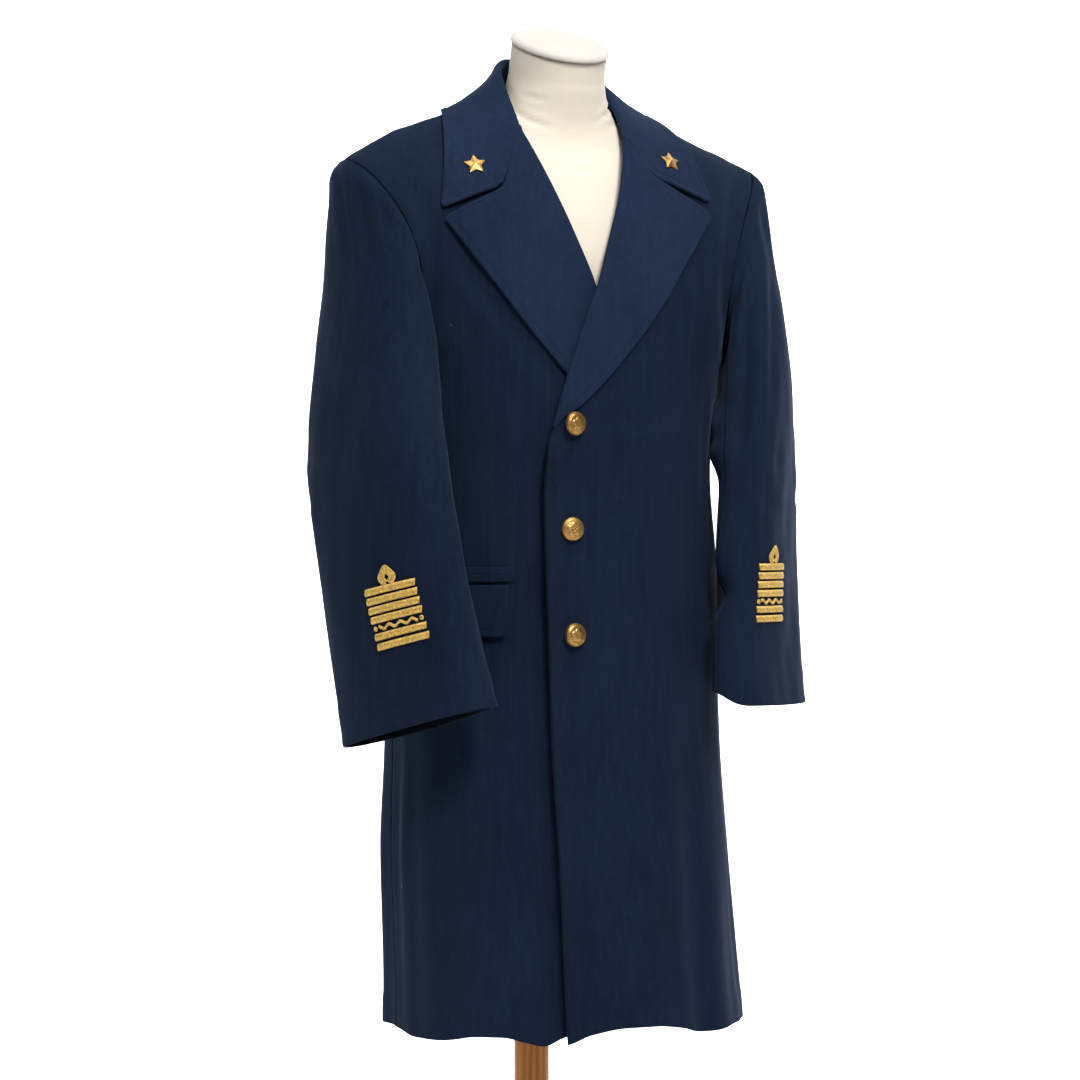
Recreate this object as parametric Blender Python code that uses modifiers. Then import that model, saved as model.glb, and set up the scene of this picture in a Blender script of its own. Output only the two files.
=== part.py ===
"""Long single-breasted dress coat worn by a limbless dress form on a post stand.

Metres, +Z up.  The origin is the middle of the underside of the base disc, on the
post's axis.  The front of the coat faces -Y and the wearer's left is +X.  Points are
worked out as (x, f, z), where f = -y is the distance forward of the post's axis, and
'own side' x is positive away from the centre on either side.
"""
import bpy
import bmesh
import math
import numpy as np
from mathutils import Matrix, Vector

# ------------------------------------------------------------------ driving sizes
CLOTH_T = 0.0025            # coating cloth of the panels and sleeves
TURNED_T = 0.0030           # lapels, collar and flaps: cloth turned and pressed double
SEAM_GAP = 0.0003           # gap between neighbouring pieces
HEM_Z = 0.437               # hem above the floor
SHOULDER_DROP_R = 0.005     # right shoulder sits a little lower than the left
SHOULDER_FULL_R = 0.007     # and its seam is a little rounder

ARM_MID = (0.2215, 0.047, 1.2815)   # middle of the armhole, own side
ARM_LEAN = math.radians(12.0)       # armhole plane leans out at the top
ARM_HALF_H = 0.1155                 # half height of the armhole
ARM_HALF_D = 0.0790                 # half depth, front to back
ARM_SCOOP_F = 0.030                 # the armhole cuts in at the front
ARM_SCOOP_B = 0.022                 # and at the back

BUTTON_R = 0.0130
BUTTON_H = 0.0085
BUTTON_X = -0.0375                  # line of the buttons, past the centre
BUTTON_Z = {"top": 1.1030, "middle": 0.9890, "bottom": 0.8745}

FLAP_H = 0.056                      # pocket flap
FLAP_TOP_Z = 0.9285
BAND_Z = (0.9320, 0.9480)           # sewn band above the flap
# the right pocket is on the front, the left one hangs further round, at the side
POCKET = {
    "left": {"front_x": 0.1800, "end": 1.32, "up": 0.0115, "off_front": 0.0195, "off_rear": 0.0130},
    "right": {"front_x": 0.0955, "end": 0.962, "up": 0.0, "off_front": 0.0018, "off_rear": 0.0050},
}
STAR_R = 0.0128                     # collar star, tip radius
STAR_AT = {"left": (0.1125, 1.3925), "right": (0.1270, 1.3815)}   # own-side x and z

RANK_W = {"left": 0.0550, "right": 0.0660}              # sleeve rank: width of the bars
RANK_FROM_CUFF = {"left": 0.0925, "right": 0.0885}      # lowest bar above the cuff edge
RANK_MID_DEG = {"left": 27.5, "right": 20.5}            # how far forward it sits on the sleeve
RANK_TILT = {"left": -0.075, "right": 0.045}            # rise of the bars, per length, toward the front

POST_R = 0.0198
BASE_R = 0.190
BASE_H = 0.028
FORM_BOTTOM_Z = 0.800

UNDERARM_Z = ARM_MID[2] - ARM_HALF_H * math.cos(ARM_LEAN)
SHOULDER_Z = ARM_MID[2] + ARM_HALF_H * math.cos(ARM_LEAN)

# sections of the coat below the armhole, one row per height
BODY_COLS = ("z", "half_left", "half_right", "front", "side", "back", "fullness")
BODY = (
    (0.437, 0.2055, 0.1985, 0.234, 0.080, -0.062, 0.62),
    (0.520, 0.2010, 0.1970, 0.224, 0.072, -0.064, 0.62),
    (0.630, 0.1985, 0.1965, 0.210, 0.060, -0.066, 0.62),
    (0.750, 0.1950, 0.1910, 0.192, 0.052, -0.068, 0.62),
    (0.860, 0.1950, 0.1890, 0.183, 0.048, -0.070, 0.62),
    (0.960, 0.1930, 0.1880, 0.180, 0.045, -0.070, 0.62),
    (1.050, 0.1860, 0.1840, 0.179, 0.045, -0.071, 0.62),
    (1.110, 0.1900, 0.1880, 0.1785, 0.046, -0.076, 0.62),
    (UNDERARM_Z, 0.1975, 0.1975, 0.178, 0.047, -0.083, 0.62),
)
# inner edge of the rows between the underarm (0) and the shoulder seam (1); the
# corner shares say where the row's two end directions meet
UPPER_COLS = ("step", "x", "f", "z", "corner_x", "corner_f")
UPPER_FRONT = (
    (0.00, 0.0000, 0.1780, UNDERARM_Z, 1.00, 0.00),
    (0.28, 0.0000, 0.1750, 1.2580, 0.86, 0.03),
    (0.42, 0.0215, 0.1640, 1.3120, 0.72, 0.06),
    (0.56, 0.0380, 0.1490, 1.3550, 0.62, 0.00),
    (0.72, 0.0560, 0.1240, 1.4020, 0.55, 0.10),
    (0.82, 0.0665, 0.1030, 1.4300, 0.52, 0.25),
    (0.91, 0.0715, 0.0780, 1.4520, 0.50, 0.40),
    (1.00, 0.0730, 0.0500, 1.4680, 0.50, 0.50),
)
UPPER_BACK = (
    (0.00, 0.0000, -0.0830, UNDERARM_Z, 1.00, 0.00),
    (0.30, 0.0000, -0.0880, 1.2700, 0.85, 0.02),
    (0.58, 0.0000, -0.0810, 1.3700, 0.70, 0.05),
    (0.80, 0.0000, -0.0500, 1.4500, 0.55, 0.20),
    (0.90, 0.0420, -0.0180, 1.4620, 0.52, 0.35),
    (1.00, 0.0730, 0.0500, 1.4680, 0.50, 0.50),
)
# front edge of each panel, own-side x: it passes the centre and overlaps
EDGE_COLS = ("z", "left", "right")
FRONT_EDGE = (
    (0.437, -0.0680, -0.0350),
    (0.800, -0.0675, -0.0370),
    (1.020, -0.0675, -0.0380),
    (1.090, -0.0580, -0.0350),
    (1.155, -0.0405, -0.0220),
    (1.205, -0.0210, -0.0110),
    (1.258, 0.0000, 0.0000),
)
# lapels: own-side x of the outer edge
BREAK_Z = {"left": 1.1195, "right": 1.085}
LAPEL_EDGE = {
    "left": ((1.1195, -0.0375), (1.1294, -0.0275), (1.174, 0.0150), (1.2232, 0.0630), (1.2762, 0.1110), (1.336, 0.1610)),
    "right": ((1.085, -0.0250), (1.120, 0.0060), (1.155, 0.0390), (1.2232, 0.0950), (1.2762, 0.1325), (1.321, 0.1650)),
}
GORGE = (0.0600, 1.4130)            # collar and lapel meet on the fold here
NOTCH = {"left": (0.0900, 1.3660), "right": (0.0920, 1.3575)}       # inner end of the notch
LAPEL_TIP = {"left": (0.1610, 1.3360), "right": (0.1650, 1.3210)}
COLLAR_TIP = {"left": (0.1600, 1.3450), "right": (0.1650, 1.3345)}

# collar, from the centre back (0) to its front end (1)
COLLAR_COLS = ("w", "fold_x", "fold_f", "fold_z", "edge_x", "edge_f", "edge_z")
COLLAR = (
    (0.00, 0.0000, -0.0130, 1.5150, 0.0000, -0.0790, 1.4530),
    (0.20, 0.0280, -0.0080, 1.5140, 0.0480, -0.0700, 1.4560),
    (0.40, 0.0500, 0.0160, 1.5030, 0.0900, -0.0330, 1.4560),
    (0.58, 0.0630, 0.0530, 1.4860, 0.1180, 0.0230, 1.4480),
    (0.72, 0.0668, 0.0790, 1.4630, 0.1350, 0.0650, 1.4200),
    (0.86, 0.0650, 0.0990, 1.4390, 0.1500, 0.0980, 1.3830),
    (1.00, 0.0600, 0.1160, 1.4130, 0.1660, 0.1280, 1.3430),
)

# rings of the sleeves, from the armhole (0) to the cuff (1)
SLEEVE_COLS = ("step", "mid_x", "mid_f", "mid_z", "lean_deg", "turn_deg", "tilt_deg", "half_thick", "half_wide")
SLEEVE = {
    "right": (
        (0.00, ARM_MID[0], ARM_MID[1], ARM_MID[2], 12.0, 0.0, 0.0, ARM_HALF_H, ARM_HALF_D),
        (0.06, 0.2295, 0.053, 1.2690, 14.0, 4.0, 0.0, 0.1100, 0.0790),
        (0.14, 0.2320, 0.063, 1.2430, 17.5, 10.0, 1.0, 0.0950, 0.0780),
        (0.24, 0.2325, 0.077, 1.2030, 26.0, 16.0, 2.0, 0.0725, 0.0780),
        (0.35, 0.2325, 0.090, 1.1520, 47.0, 19.0, 3.0, 0.0535, 0.0810),
        (0.46, 0.2340, 0.102, 1.1040, 71.0, 21.0, 4.0, 0.0450, 0.0870),
        (0.56, 0.2350, 0.113, 1.0540, 88.0, 22.0, 5.0, 0.0430, 0.0920),
        (0.74, 0.2270, 0.131, 0.9490, 90.0, 23.0, 9.0, 0.0435, 0.0925),
        (0.89, 0.2175, 0.152, 0.8520, 90.0, 29.0, 12.0, 0.0430, 0.0920),
        (1.00, 0.2105, 0.1700, 0.7765, 90.0, 37.0, 14.5, 0.0415, 0.0890),
    ),
    "left": (
        (0.00, ARM_MID[0], ARM_MID[1], ARM_MID[2], 12.0, 0.0, 0.0, ARM_HALF_H, ARM_HALF_D),
        (0.06, 0.2320, 0.053, 1.2690, 14.0, 4.0, 0.0, 0.1105, 0.0800),
        (0.14, 0.2345, 0.061, 1.2430, 17.5, 9.0, 1.0, 0.0970, 0.0800),
        (0.24, 0.2350, 0.074, 1.2030, 26.0, 17.0, 2.0, 0.0760, 0.0800),
        (0.35, 0.2340, 0.088, 1.1520, 47.0, 25.0, 3.0, 0.0555, 0.0830),
        (0.46, 0.2315, 0.101, 1.1040, 71.0, 32.0, 4.0, 0.0435, 0.0880),
        (0.56, 0.2285, 0.114, 1.0540, 88.0, 38.0, 4.0, 0.0375, 0.0905),
        (0.74, 0.2160, 0.134, 0.9520, 90.0, 46.0, 5.0, 0.0340, 0.0895),
        (0.89, 0.2065, 0.155, 0.8590, 90.0, 51.0, 5.0, 0.0325, 0.0885),
        (1.00, 0.2000, 0.1710, 0.7940, 90.0, 53.0, 2.0, 0.0320, 0.0845),
    ),
}
UPPER_SLEEVE_DEG = (-124.0, 122.0)  # the top sleeve's share of each ring

# sections of the dress form
FORM_COLS = ("z", "half", "front", "back", "mid")
FORM = (
    (0.8000, 0.1180, 0.1180, -0.0250, 0.040),
    (0.8060, 0.1420, 0.1350, -0.0420, 0.040),
    (0.8300, 0.1560, 0.1450, -0.0520, 0.040),
    (0.9000, 0.1620, 0.1480, -0.0560, 0.040),
    (0.9800, 0.1560, 0.1430, -0.0500, 0.040),
    (1.0600, 0.1500, 0.1440, -0.0480, 0.042),
    (1.1400, 0.1610, 0.1550, -0.0580, 0.044),
    (1.2100, 0.1700, 0.1660, -0.0660, 0.046),
    (1.2700, 0.1730, 0.1640, -0.0680, 0.047),
    (1.3200, 0.1710, 0.1520, -0.0660, 0.048),
    (1.3600, 0.1620, 0.1370, -0.0580, 0.050),
    (1.3900, 0.1420, 0.1240, -0.0450, 0.052),
    (1.4130, 0.1130, 0.1140, -0.0290, 0.054),
    (1.4320, 0.0840, 0.1110, -0.0130, 0.057),
    (1.4500, 0.0640, 0.1140, -0.0030, 0.060),
    (1.4700, 0.0560, 0.1200, 0.0020, 0.062),
)
NECK_A, NECK_B = 0.0530, 0.0570     # neck half width and half depth
CAP_SLOPE = 0.39                    # the neck is cut off sloping down to the front
CAP_MID = (0.073, 1.5200)           # f and z of the middle of that cut
CAP_T = 0.009


# ------------------------------------------------------------------ working functions
def curve_through(xs, ys, x):
    """Shape-preserving cubic through the rows of a table."""
    xs = np.asarray(xs, float)
    ys = np.asarray(ys, float)
    if ys.ndim == 1:
        ys = ys[:, None]
    x = np.asarray(x, float)
    h = np.diff(xs)
    d = np.diff(ys, axis=0) / h[:, None]
    m = np.zeros_like(ys)
    m[0], m[-1] = d[0], d[-1]
    for i in range(1, len(xs) - 1):
        a, b = d[i - 1], d[i]
        w1, w2 = 2 * h[i] + h[i - 1], h[i] + 2 * h[i - 1]
        sa, sb = np.where(a == 0, 1, a), np.where(b == 0, 1, b)
        m[i] = np.where(a * b > 0, (w1 + w2) / (w1 / sa + w2 / sb), 0.0)
    k = np.clip(np.searchsorted(xs, x, side="right") - 1, 0, len(xs) - 2)
    t = np.clip((x - xs[k]) / h[k], 0, 1)[..., None]
    hh = h[k][..., None]
    return ((1 + 2 * t) * (1 - t) ** 2 * ys[k] + t * (1 - t) ** 2 * hh * m[k]
            + t * t * (3 - 2 * t) * ys[k + 1] + t * t * (t - 1) * hh * m[k + 1])


def rows(table, x):
    return curve_through([r[0] for r in table], [r[1:] for r in table], x)


def ease(a, b, x):
    """Smooth step from 0 at a to 1 at b."""
    t = np.clip((np.asarray(x, float) - a) / (b - a), 0, 1)
    return t * t * (3 - 2 * t)


def unit(v):
    return v / np.maximum(np.linalg.norm(v, axis=-1, keepdims=True), 1e-12)


def armhole(al):
    """Point of the armhole: 0 at the shoulder, +90 deg at the front, 180 underarm."""
    al = np.asarray(al, float)
    c, s = np.cos(al), np.sin(al)
    lean = np.array([math.sin(ARM_LEAN), 0.0, math.cos(ARM_LEAN)])
    p = np.array(ARM_MID) + ARM_HALF_H * c[..., None] * lean + ARM_HALF_D * s[..., None] * np.array([0, 1.0, 0])
    p[..., 0] -= np.where(s > 0, ARM_SCOOP_F, ARM_SCOOP_B) * s * s
    return p


def coat(level, u, side, back=False):
    """Middle surface of the coat body, own-side x.  level is the height below the
    underarm and runs on to SHOULDER_Z at the shoulder seam; u is 0 at the centre
    and 1 at the side seam or armhole, and below 0 it mirrors past the centre."""
    level, u = np.broadcast_arrays(np.asarray(level, float), np.asarray(u, float))
    low = level <= UNDERARM_Z
    t = np.clip((level - UNDERARM_Z) / (SHOULDER_Z - UNDERARM_Z), 0, 1)
    z0 = np.minimum(level, UNDERARM_Z)
    b = rows(BODY, z0)
    half = b[..., 0] if side == "left" else b[..., 1]
    c = rows(UPPER_BACK if back else UPPER_FRONT, t)
    al = math.pi * (1 - t) * (-1 if back else 1)
    a = armhole(al)
    p0 = np.stack([np.where(low, 0, c[..., 0]), np.where(low, b[..., 4] if back else b[..., 2], c[..., 1]),
                   np.where(low, z0, c[..., 2])], -1)
    p3 = np.stack([np.where(low, half, a[..., 0]), np.where(low, b[..., 3], a[..., 1]),
                   np.where(low, z0, a[..., 2])], -1)
    qx = np.where(low, 1.0, c[..., 3])
    qf = np.where(low, 0.0, c[..., 4])
    q = np.stack([p0[..., 0] + qx * (p3[..., 0] - p0[..., 0]), p0[..., 1] + qf * (p3[..., 1] - p0[..., 1]),
                  p0[..., 2]], -1)
    k = (0.62 - 0.02 * t)[..., None]
    w = np.abs(u)[..., None]
    p1, p2 = p0 + k * (q - p0), p3 + k * (q - p3)
    p = (1 - w) ** 3 * p0 + 3 * (1 - w) ** 2 * w * p1 + 3 * (1 - w) * w * w * p2 + w ** 3 * p3
    p[..., 2] = p0[..., 2] * (1 - w[..., 0]) + p3[..., 2] * w[..., 0]
    p[..., 0] = np.where(u < 0, 2 * p0[..., 0] - p[..., 0], p[..., 0])
    if side == "right":
        ww = np.clip(w[..., 0], 0, 1)
        p[..., 2] += SHOULDER_FULL_R * t * t * 6.75 * ww * ww * (1 - ww) - SHOULDER_DROP_R * t * ww
    return p


def coat_normal(level, u, side, back=False):
    """Outward direction of the coat body, own-side x."""
    e, g = 1e-3, 2e-3
    level = np.asarray(level, float)
    lo, hi = np.maximum(level - e, HEM_Z), np.minimum(level + e, SHOULDER_Z)
    dv = coat(hi, u, side, back) - coat(lo, u, side, back)
    uc = np.clip(u, -1 + g, 1 - g)
    du = coat(level, uc + g, side, back) - coat(level, uc - g, side, back)
    n = unit(np.cross(dv, du))
    want = np.array([0, -1.0, 0]) if back else np.array([0, 1.0, 0])
    return np.where((n @ want + 0.25 * n[..., 2])[..., None] < 0, -n, n)


def overlap_lift(x, z, side):
    """The left front lies over the right front and over the right lapel."""
    if side == "right":
        return np.zeros(np.shape(x))
    base = 0.0045 + 0.0064 * ease(1.02, 1.07, z) - 0.0079 * ease(1.24, 1.32, z)
    return base * (1 - ease(0.044, 0.115, x))


def front(level, u, side, out=0.0):
    """Point of a front panel, moved out from its middle surface."""
    p = coat(level, u, side)
    return p + coat_normal(level, u, side) * (overlap_lift(p[..., 0], p[..., 2], side) + out)[..., None]


def front_uv(x, z, side):
    """Level and u of the front panel at own-side x and height z."""
    x, z = np.broadcast_arrays(np.asarray(x, float), np.asarray(z, float))
    lv, u = np.clip(z, HEM_Z, SHOULDER_Z - 0.01).copy(), np.clip(x / 0.22, -0.5, 0.95).copy()
    for _ in range(30):
        p = coat(lv, u, side)
        rx, rz = x - p[..., 0], z - p[..., 2]
        e = 1e-4
        a = (coat(lv + e, u, side) - p) / e
        b = (coat(lv, u + e, side) - p) / e
        det = a[..., 0] * b[..., 2] - a[..., 2] * b[..., 0]
        det = np.where(np.abs(det) < 1e-9, 1e-9, det)
        dl = (rx * b[..., 2] - rz * b[..., 0]) / det
        du = (a[..., 0] * rz - a[..., 2] * rx) / det
        lv = np.clip(lv + np.clip(dl, -0.05, 0.05), HEM_Z, SHOULDER_Z - 2e-4)
        u = np.clip(u + np.clip(du, -0.2, 0.2), -0.9, 0.9995)
    return lv, u


def on_front(x, z, side, out):
    lv, u = front_uv(x, z, side)
    return front(lv, u, side, out)


def edge_u(level, side):
    """u of the front edge, past the centre, below the crossing of the fronts."""
    level = np.atleast_1d(np.asarray(level, float))
    out = np.zeros_like(level)
    us = np.linspace(0, 0.75, 90)
    for i, lv in enumerate(level):
        z = coat(lv, 0.0, side)[2]
        x = rows(FRONT_EDGE, min(z, FRONT_EDGE[-1][0]))[0 if side == "left" else 1]
        if x < -1e-6:
            out[i] = -np.interp(-x, coat(np.full(us.shape, lv), us, side)[:, 0], us)
    return out


def sleeve(step, al, side, out=0.0):
    """Point of a sleeve: al 0 outside, +90 deg at its front, 180 inside."""
    step, al = np.broadcast_arrays(np.asarray(step, float), np.asarray(al, float))
    s = rows(SLEEVE[side], step)
    lean, turn, tilt = (np.radians(s[..., i]) for i in (3, 4, 5))
    e1 = np.stack([np.sin(lean) * np.cos(turn), np.sin(lean) * np.sin(turn), np.cos(lean)], -1)
    w = np.stack([-np.sin(turn), np.cos(turn), np.tan(tilt)], -1)
    e2 = unit(w - (w * e1).sum(-1, keepdims=True) * e1)
    c, sn = np.cos(al), np.sin(al)
    n = 2.0 + 0.45 * ease(0.0, 0.5, step)
    r = 1.0 / (np.abs(c) ** n + np.abs(sn) ** n) ** (1.0 / n)
    p = s[..., 0:3] + ((s[..., 6] + out) * r * c)[..., None] * e1 + ((s[..., 7] + out) * r * sn)[..., None] * e2
    fade = 1 - ease(0.10, 0.52, step)
    p[..., 0] -= np.where(sn > 0, ARM_SCOOP_F, ARM_SCOOP_B) * sn * sn * fade
    # beside the body at the underarm the sleeve stands off by its own thickness
    p[..., 0] += (0.0014 + 0.0028 * ease(-0.2, 1.0, -c)) * (1 - ease(0.0, 0.10, step))
    if side == "right":
        p[..., 2] -= SHOULDER_DROP_R * (0.5 + 0.5 * c) * (1 - ease(0.0, 0.35, step))
    return p


def world(p, side):
    """Own-side (x, f, z) to world (x, y, z)."""
    p = np.array(p, float)
    p[..., 0] *= 1.0 if side == "left" else -1.0
    p[..., 1] *= -1.0
    return p


def grid_normals(p):
    du = np.gradient(p, axis=1)
    dv = np.gradient(p, axis=0)
    return unit(np.cross(du, dv))


# ------------------------------------------------------------------ making objects
def clear_scene():
    for ob in list(bpy.data.objects):
        bpy.data.objects.remove(ob, do_unlink=True)


def material(name, rgb, rough, metal=0.0):
    m = bpy.data.materials.new(name)
    m.use_nodes = True
    b = m.node_tree.nodes["Principled BSDF"]
    b.inputs["Base Color"].default_value = (*rgb, 1.0)
    b.inputs["Roughness"].default_value = rough
    b.inputs["Metallic"].default_value = metal
    return m


clear_scene()
PARTS = bpy.data.collections.new("dress_coat_on_form")
bpy.context.scene.collection.children.link(PARTS)
NAVY = (0.012, 0.020, 0.045)
GOLD = (0.55, 0.38, 0.11)
TINTS = {"wool": (NAVY, 0.92, 0.0), "gilt": (GOLD, 0.36, 0.9), "braid": ((0.52, 0.36, 0.10), 0.55, 0.3),
         "jersey": ((0.80, 0.75, 0.64), 0.85, 0.0), "wood": ((0.30, 0.14, 0.05), 0.5, 0.0)}


def add(name, mesh, tint):
    ob = bpy.data.objects.new(name, mesh)
    PARTS.objects.link(ob)
    rgb, rough, metal = TINTS[tint]
    mesh.materials.clear()
    mesh.materials.append(material(name + "_" + tint, rgb, rough, metal))
    return ob


def cloth_sheet(name, pts, side, thick, tint="wool", offset=0.0):
    """An open grid of points made a wall with Solidify."""
    p = world(pts, side)
    nr, nc = p.shape[:2]
    bm = bmesh.new()
    vs = [[bm.verts.new(p[i, j]) for j in range(nc)] for i in range(nr)]
    for i in range(nr - 1):
        for j in range(nc - 1):
            quad = [vs[i][j], vs[i][j + 1], vs[i + 1][j + 1], vs[i + 1][j]]
            bm.faces.new(quad if side == "left" else quad[::-1])
    bmesh.ops.recalc_face_normals(bm, faces=bm.faces)
    me = bpy.data.meshes.new(name)
    bm.to_mesh(me)
    bm.free()
    ob = add(name, me, tint)
    so = ob.modifiers.new("wall", "SOLIDIFY")
    so.thickness = thick
    so.offset = offset
    so.use_even_offset = True
    so.thickness_clamp = 0.0
    me.shade_smooth()
    return ob


def turned(name, profile, steps, tint, matrix=None):
    """A profile of (radius, height), top to bottom, turned about its axis."""
    me = bpy.data.meshes.new(name)
    me.from_pydata([(r, 0, h) for r, h in profile], [(i, i + 1) for i in range(len(profile) - 1)], [])
    ob = add(name, me, tint)
    sc = ob.modifiers.new("turn", "SCREW")
    sc.axis = "Z"
    sc.angle = 2 * math.pi
    sc.steps = sc.render_steps = steps
    sc.use_merge_vertices = True
    sc.merge_threshold = 0.00005
    sc.use_smooth_shade = True
    if matrix is not None:
        ob.matrix_world = matrix
    return ob


def placed(point, normal, up=(0, 0, 1)):
    """Matrix with local Z along the normal and local Y near up."""
    n = Vector(normal).normalized()
    y = (Vector(up) - n * Vector(up).dot(n)).normalized()
    x = y.cross(n).normalized()
    m = Matrix((x, y, n)).transposed().to_4x4()
    m.translation = Vector(point)
    return m


# ------------------------------------------------------------------ coat body
ROW_LOW = (0.0, 0.07, 0.15, 0.24, 0.34, 0.44, 0.54, 0.64, 0.73, 0.81, 0.88, 0.94, 1.0)
ROW_UP = (0.10, 0.19, 0.28, 0.35, 0.42, 0.49, 0.56, 0.64, 0.72, 0.80, 0.87, 0.94)


def panel_levels(last):
    low = [HEM_Z + s * (UNDERARM_Z - HEM_Z) for s in ROW_LOW]
    up = [UNDERARM_Z + s * (SHOULDER_Z - UNDERARM_Z) for s in ROW_UP]
    return np.array(low + up + [last])


def front_panel(side):
    """From the front edge and roll line to the side seam and armhole."""
    lv = panel_levels(SHOULDER_Z - 0.0011)
    u0 = edge_u(lv, side)
    cols = 11
    p = np.zeros((len(lv), cols, 3))
    for i, l in enumerate(lv):
        a = u0[i] + (0.0012 if u0[i] == 0 else 0.0)
        u = np.linspace(a, 0.9984, cols)
        p[i] = front(np.full(cols, l), u, side)
        p[i, :, 2] += hem_rise(p[i, :, 0], l, side)
    return cloth_sheet("front_" + side, p, side, CLOTH_T)


def hem_rise(x, level, side):
    """The hem dips at the front edges and lifts a little between folds."""
    if side == "left":
        d = (0.013 * np.exp(-((x + 0.005) / 0.035) ** 2) + 0.009 * np.exp(-((x - 0.065) / 0.045) ** 2)
             - 0.002 * np.exp(-((x - 0.150) / 0.03) ** 2))
    else:
        d = 0.008 * np.exp(-((x - 0.110) / 0.06) ** 2) + 0.004 * ease(0.15, 0.19, x) - 0.001
    return d * (1 - ease(HEM_Z, HEM_Z + 0.10, level))


def back_panel(side):
    """From the centre back seam to the side seam and armhole."""
    lv = panel_levels(SHOULDER_Z - 0.0011)
    cols = 9
    u = np.linspace(0.0011, 0.9984, cols)
    p = np.stack([coat(np.full(cols, l), u, side, True) for l in lv])
    p[..., 0] = np.maximum(p[..., 0], 2.5 * SEAM_GAP)
    return cloth_sheet("back_" + side, p, side, CLOTH_T)


for SIDE in ("left", "right"):
    front_panel(SIDE)
    back_panel(SIDE)


# ------------------------------------------------------------------ lapels and collar
def edge_point(side, s):
    z = BREAK_Z[side] + s * (LAPEL_TIP[side][1] - BREAK_Z[side])
    return np.array([rows(LAPEL_EDGE[side], z)[..., 0], z])


def roll_point(side, s):
    """Fold of the lapel, from the break up to the gorge."""
    z = BREAK_Z[side] + s * (GORGE[1] - BREAK_Z[side])
    if z < 1.258:
        x = rows(FRONT_EDGE, z)[0 if side == "left" else 1]
    else:
        t = np.interp(z, [r[3] for r in UPPER_FRONT], [r[0] for r in UPPER_FRONT])
        x = rows(UPPER_FRONT, t)[0]
    return np.array([x, z])


def top_line(t, side, tip, gap):
    """Gorge seam from the fold to the notch, then the notch edge out to the tip;
    gap moves the line square to itself, up for the collar and down for the lapel."""
    bend = 0.42
    gap = gap * (1 + 1.8 * (1 - float(ease(0.0, 0.40, t))))
    a, b, c = np.array(GORGE), np.array(NOTCH[side]), np.array(tip[side])
    if t < bend:
        q, d = a + (b - a) * t / bend, b - a
    else:
        q, d = b + (c - b) * (t - bend) / (1 - bend), c - b
    if abs(t - bend) < 1e-6:
        d = (b - a) / np.linalg.norm(b - a) + (c - b) / np.linalg.norm(c - b)
    return q + np.array([-d[1], d[0]]) / np.linalg.norm(d) * gap


T_ACROSS = (0.0, 0.14, 0.28, 0.42, 0.61, 0.80, 1.0)


def lapel_grid(side, nrows=12):
    """The lapel lies on its front, turned back along the roll line."""
    clear = CLOTH_T / 2 + TURNED_T / 2 + 0.0008
    s_list = np.linspace(0.0, 1.0, nrows)
    p = np.zeros((nrows, len(T_ACROSS), 3))
    for i, s in enumerate(s_list):
        r, e = roll_point(side, s), edge_point(side, s)
        r1, e1 = np.array(GORGE), np.array(LAPEL_TIP[side])
        for j, t in enumerate(T_ACROSS):
            q = r + (e - r) * t
            q = q + (s ** 4) * (top_line(t, side, LAPEL_TIP, -0.0007) - (r1 + (e1 - r1) * t))
            q[0] = q[0] + (0.0016 if t == 0 else 0.0)
            out = clear + 0.0030 * math.sin(math.pi * t) * s + 0.0006 * t
            p[i, j] = on_front(q[0], q[1], side, np.float64(out))
    return p


def body_cloud(side):
    """Points and outward directions of the coat around the neck and shoulders."""
    lv = UNDERARM_Z + np.linspace(0.3, 1.0, 40) * (SHOULDER_Z - UNDERARM_Z)
    u = np.linspace(0.0, 0.85, 34)
    lg, ug = np.meshgrid(lv, u, indexing="ij")
    pts = [front(lg, ug, side).reshape(-1, 3), coat(lg, ug, side, True).reshape(-1, 3)]
    nrm = [coat_normal(lg, ug, side, b).reshape(-1, 3) for b in (False, True)]
    return np.concatenate(pts), np.concatenate(nrm)


def push_clear(p, cloud, gap):
    """Move points out until they stand gap off the coat."""
    pts, nrm = cloud
    q = p.copy()
    for _ in range(2):
        for idx in np.ndindex(q.shape[:-1]):
            d2 = ((pts - q[idx]) ** 2).sum(-1)
            k = int(np.argmin(d2))
            h = float((q[idx] - pts[k]) @ nrm[k])
            if h < gap:
                q[idx] = q[idx] + nrm[k] * (gap - h)
    return q


def collar_fall_half(side, ws, across=T_ACROSS):
    """Fall of the collar on one side, from the centre back to its front end."""
    cloud = body_cloud(side)
    clear = CLOTH_T / 2 + TURNED_T / 2
    end = np.stack([on_front(*top_line(t, side, COLLAR_TIP, 0.0007), side, np.float64(clear + 0.0016 + 0.0030 * math.sin(math.pi * t)))
                    for t in across])
    p = np.zeros((len(ws), len(across), 3))
    for i, w in enumerate(ws):
        c = rows(COLLAR, w)
        f0, e0 = c[0:3].copy(), c[3:6].copy()
        away = unit(np.array([f0[0], f0[1] - 0.055, 0.0]))
        f0 = f0 + away * 0.0018
        for j, t in enumerate(across):
            q = f0 + (e0 - f0) * t
            bulge = (0.0110 * float(ease(0.46, 0.64, w)) - 0.0055) * math.sin(math.pi * t ** 0.8) * float(ease(1.0, 0.8, w))
            q = q + np.array([0, 0, 0.7]) * bulge + away * bulge * 0.7
            k = float(ease(0.62, 1.0, w))
            straight = end[0] + (end[-1] - end[0]) * t
            p[i, j] = q + k * (end[j] - q) + (1 - k) * k * (end[j] - straight)
    return push_clear(p, cloud, clear + 0.0022)


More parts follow.
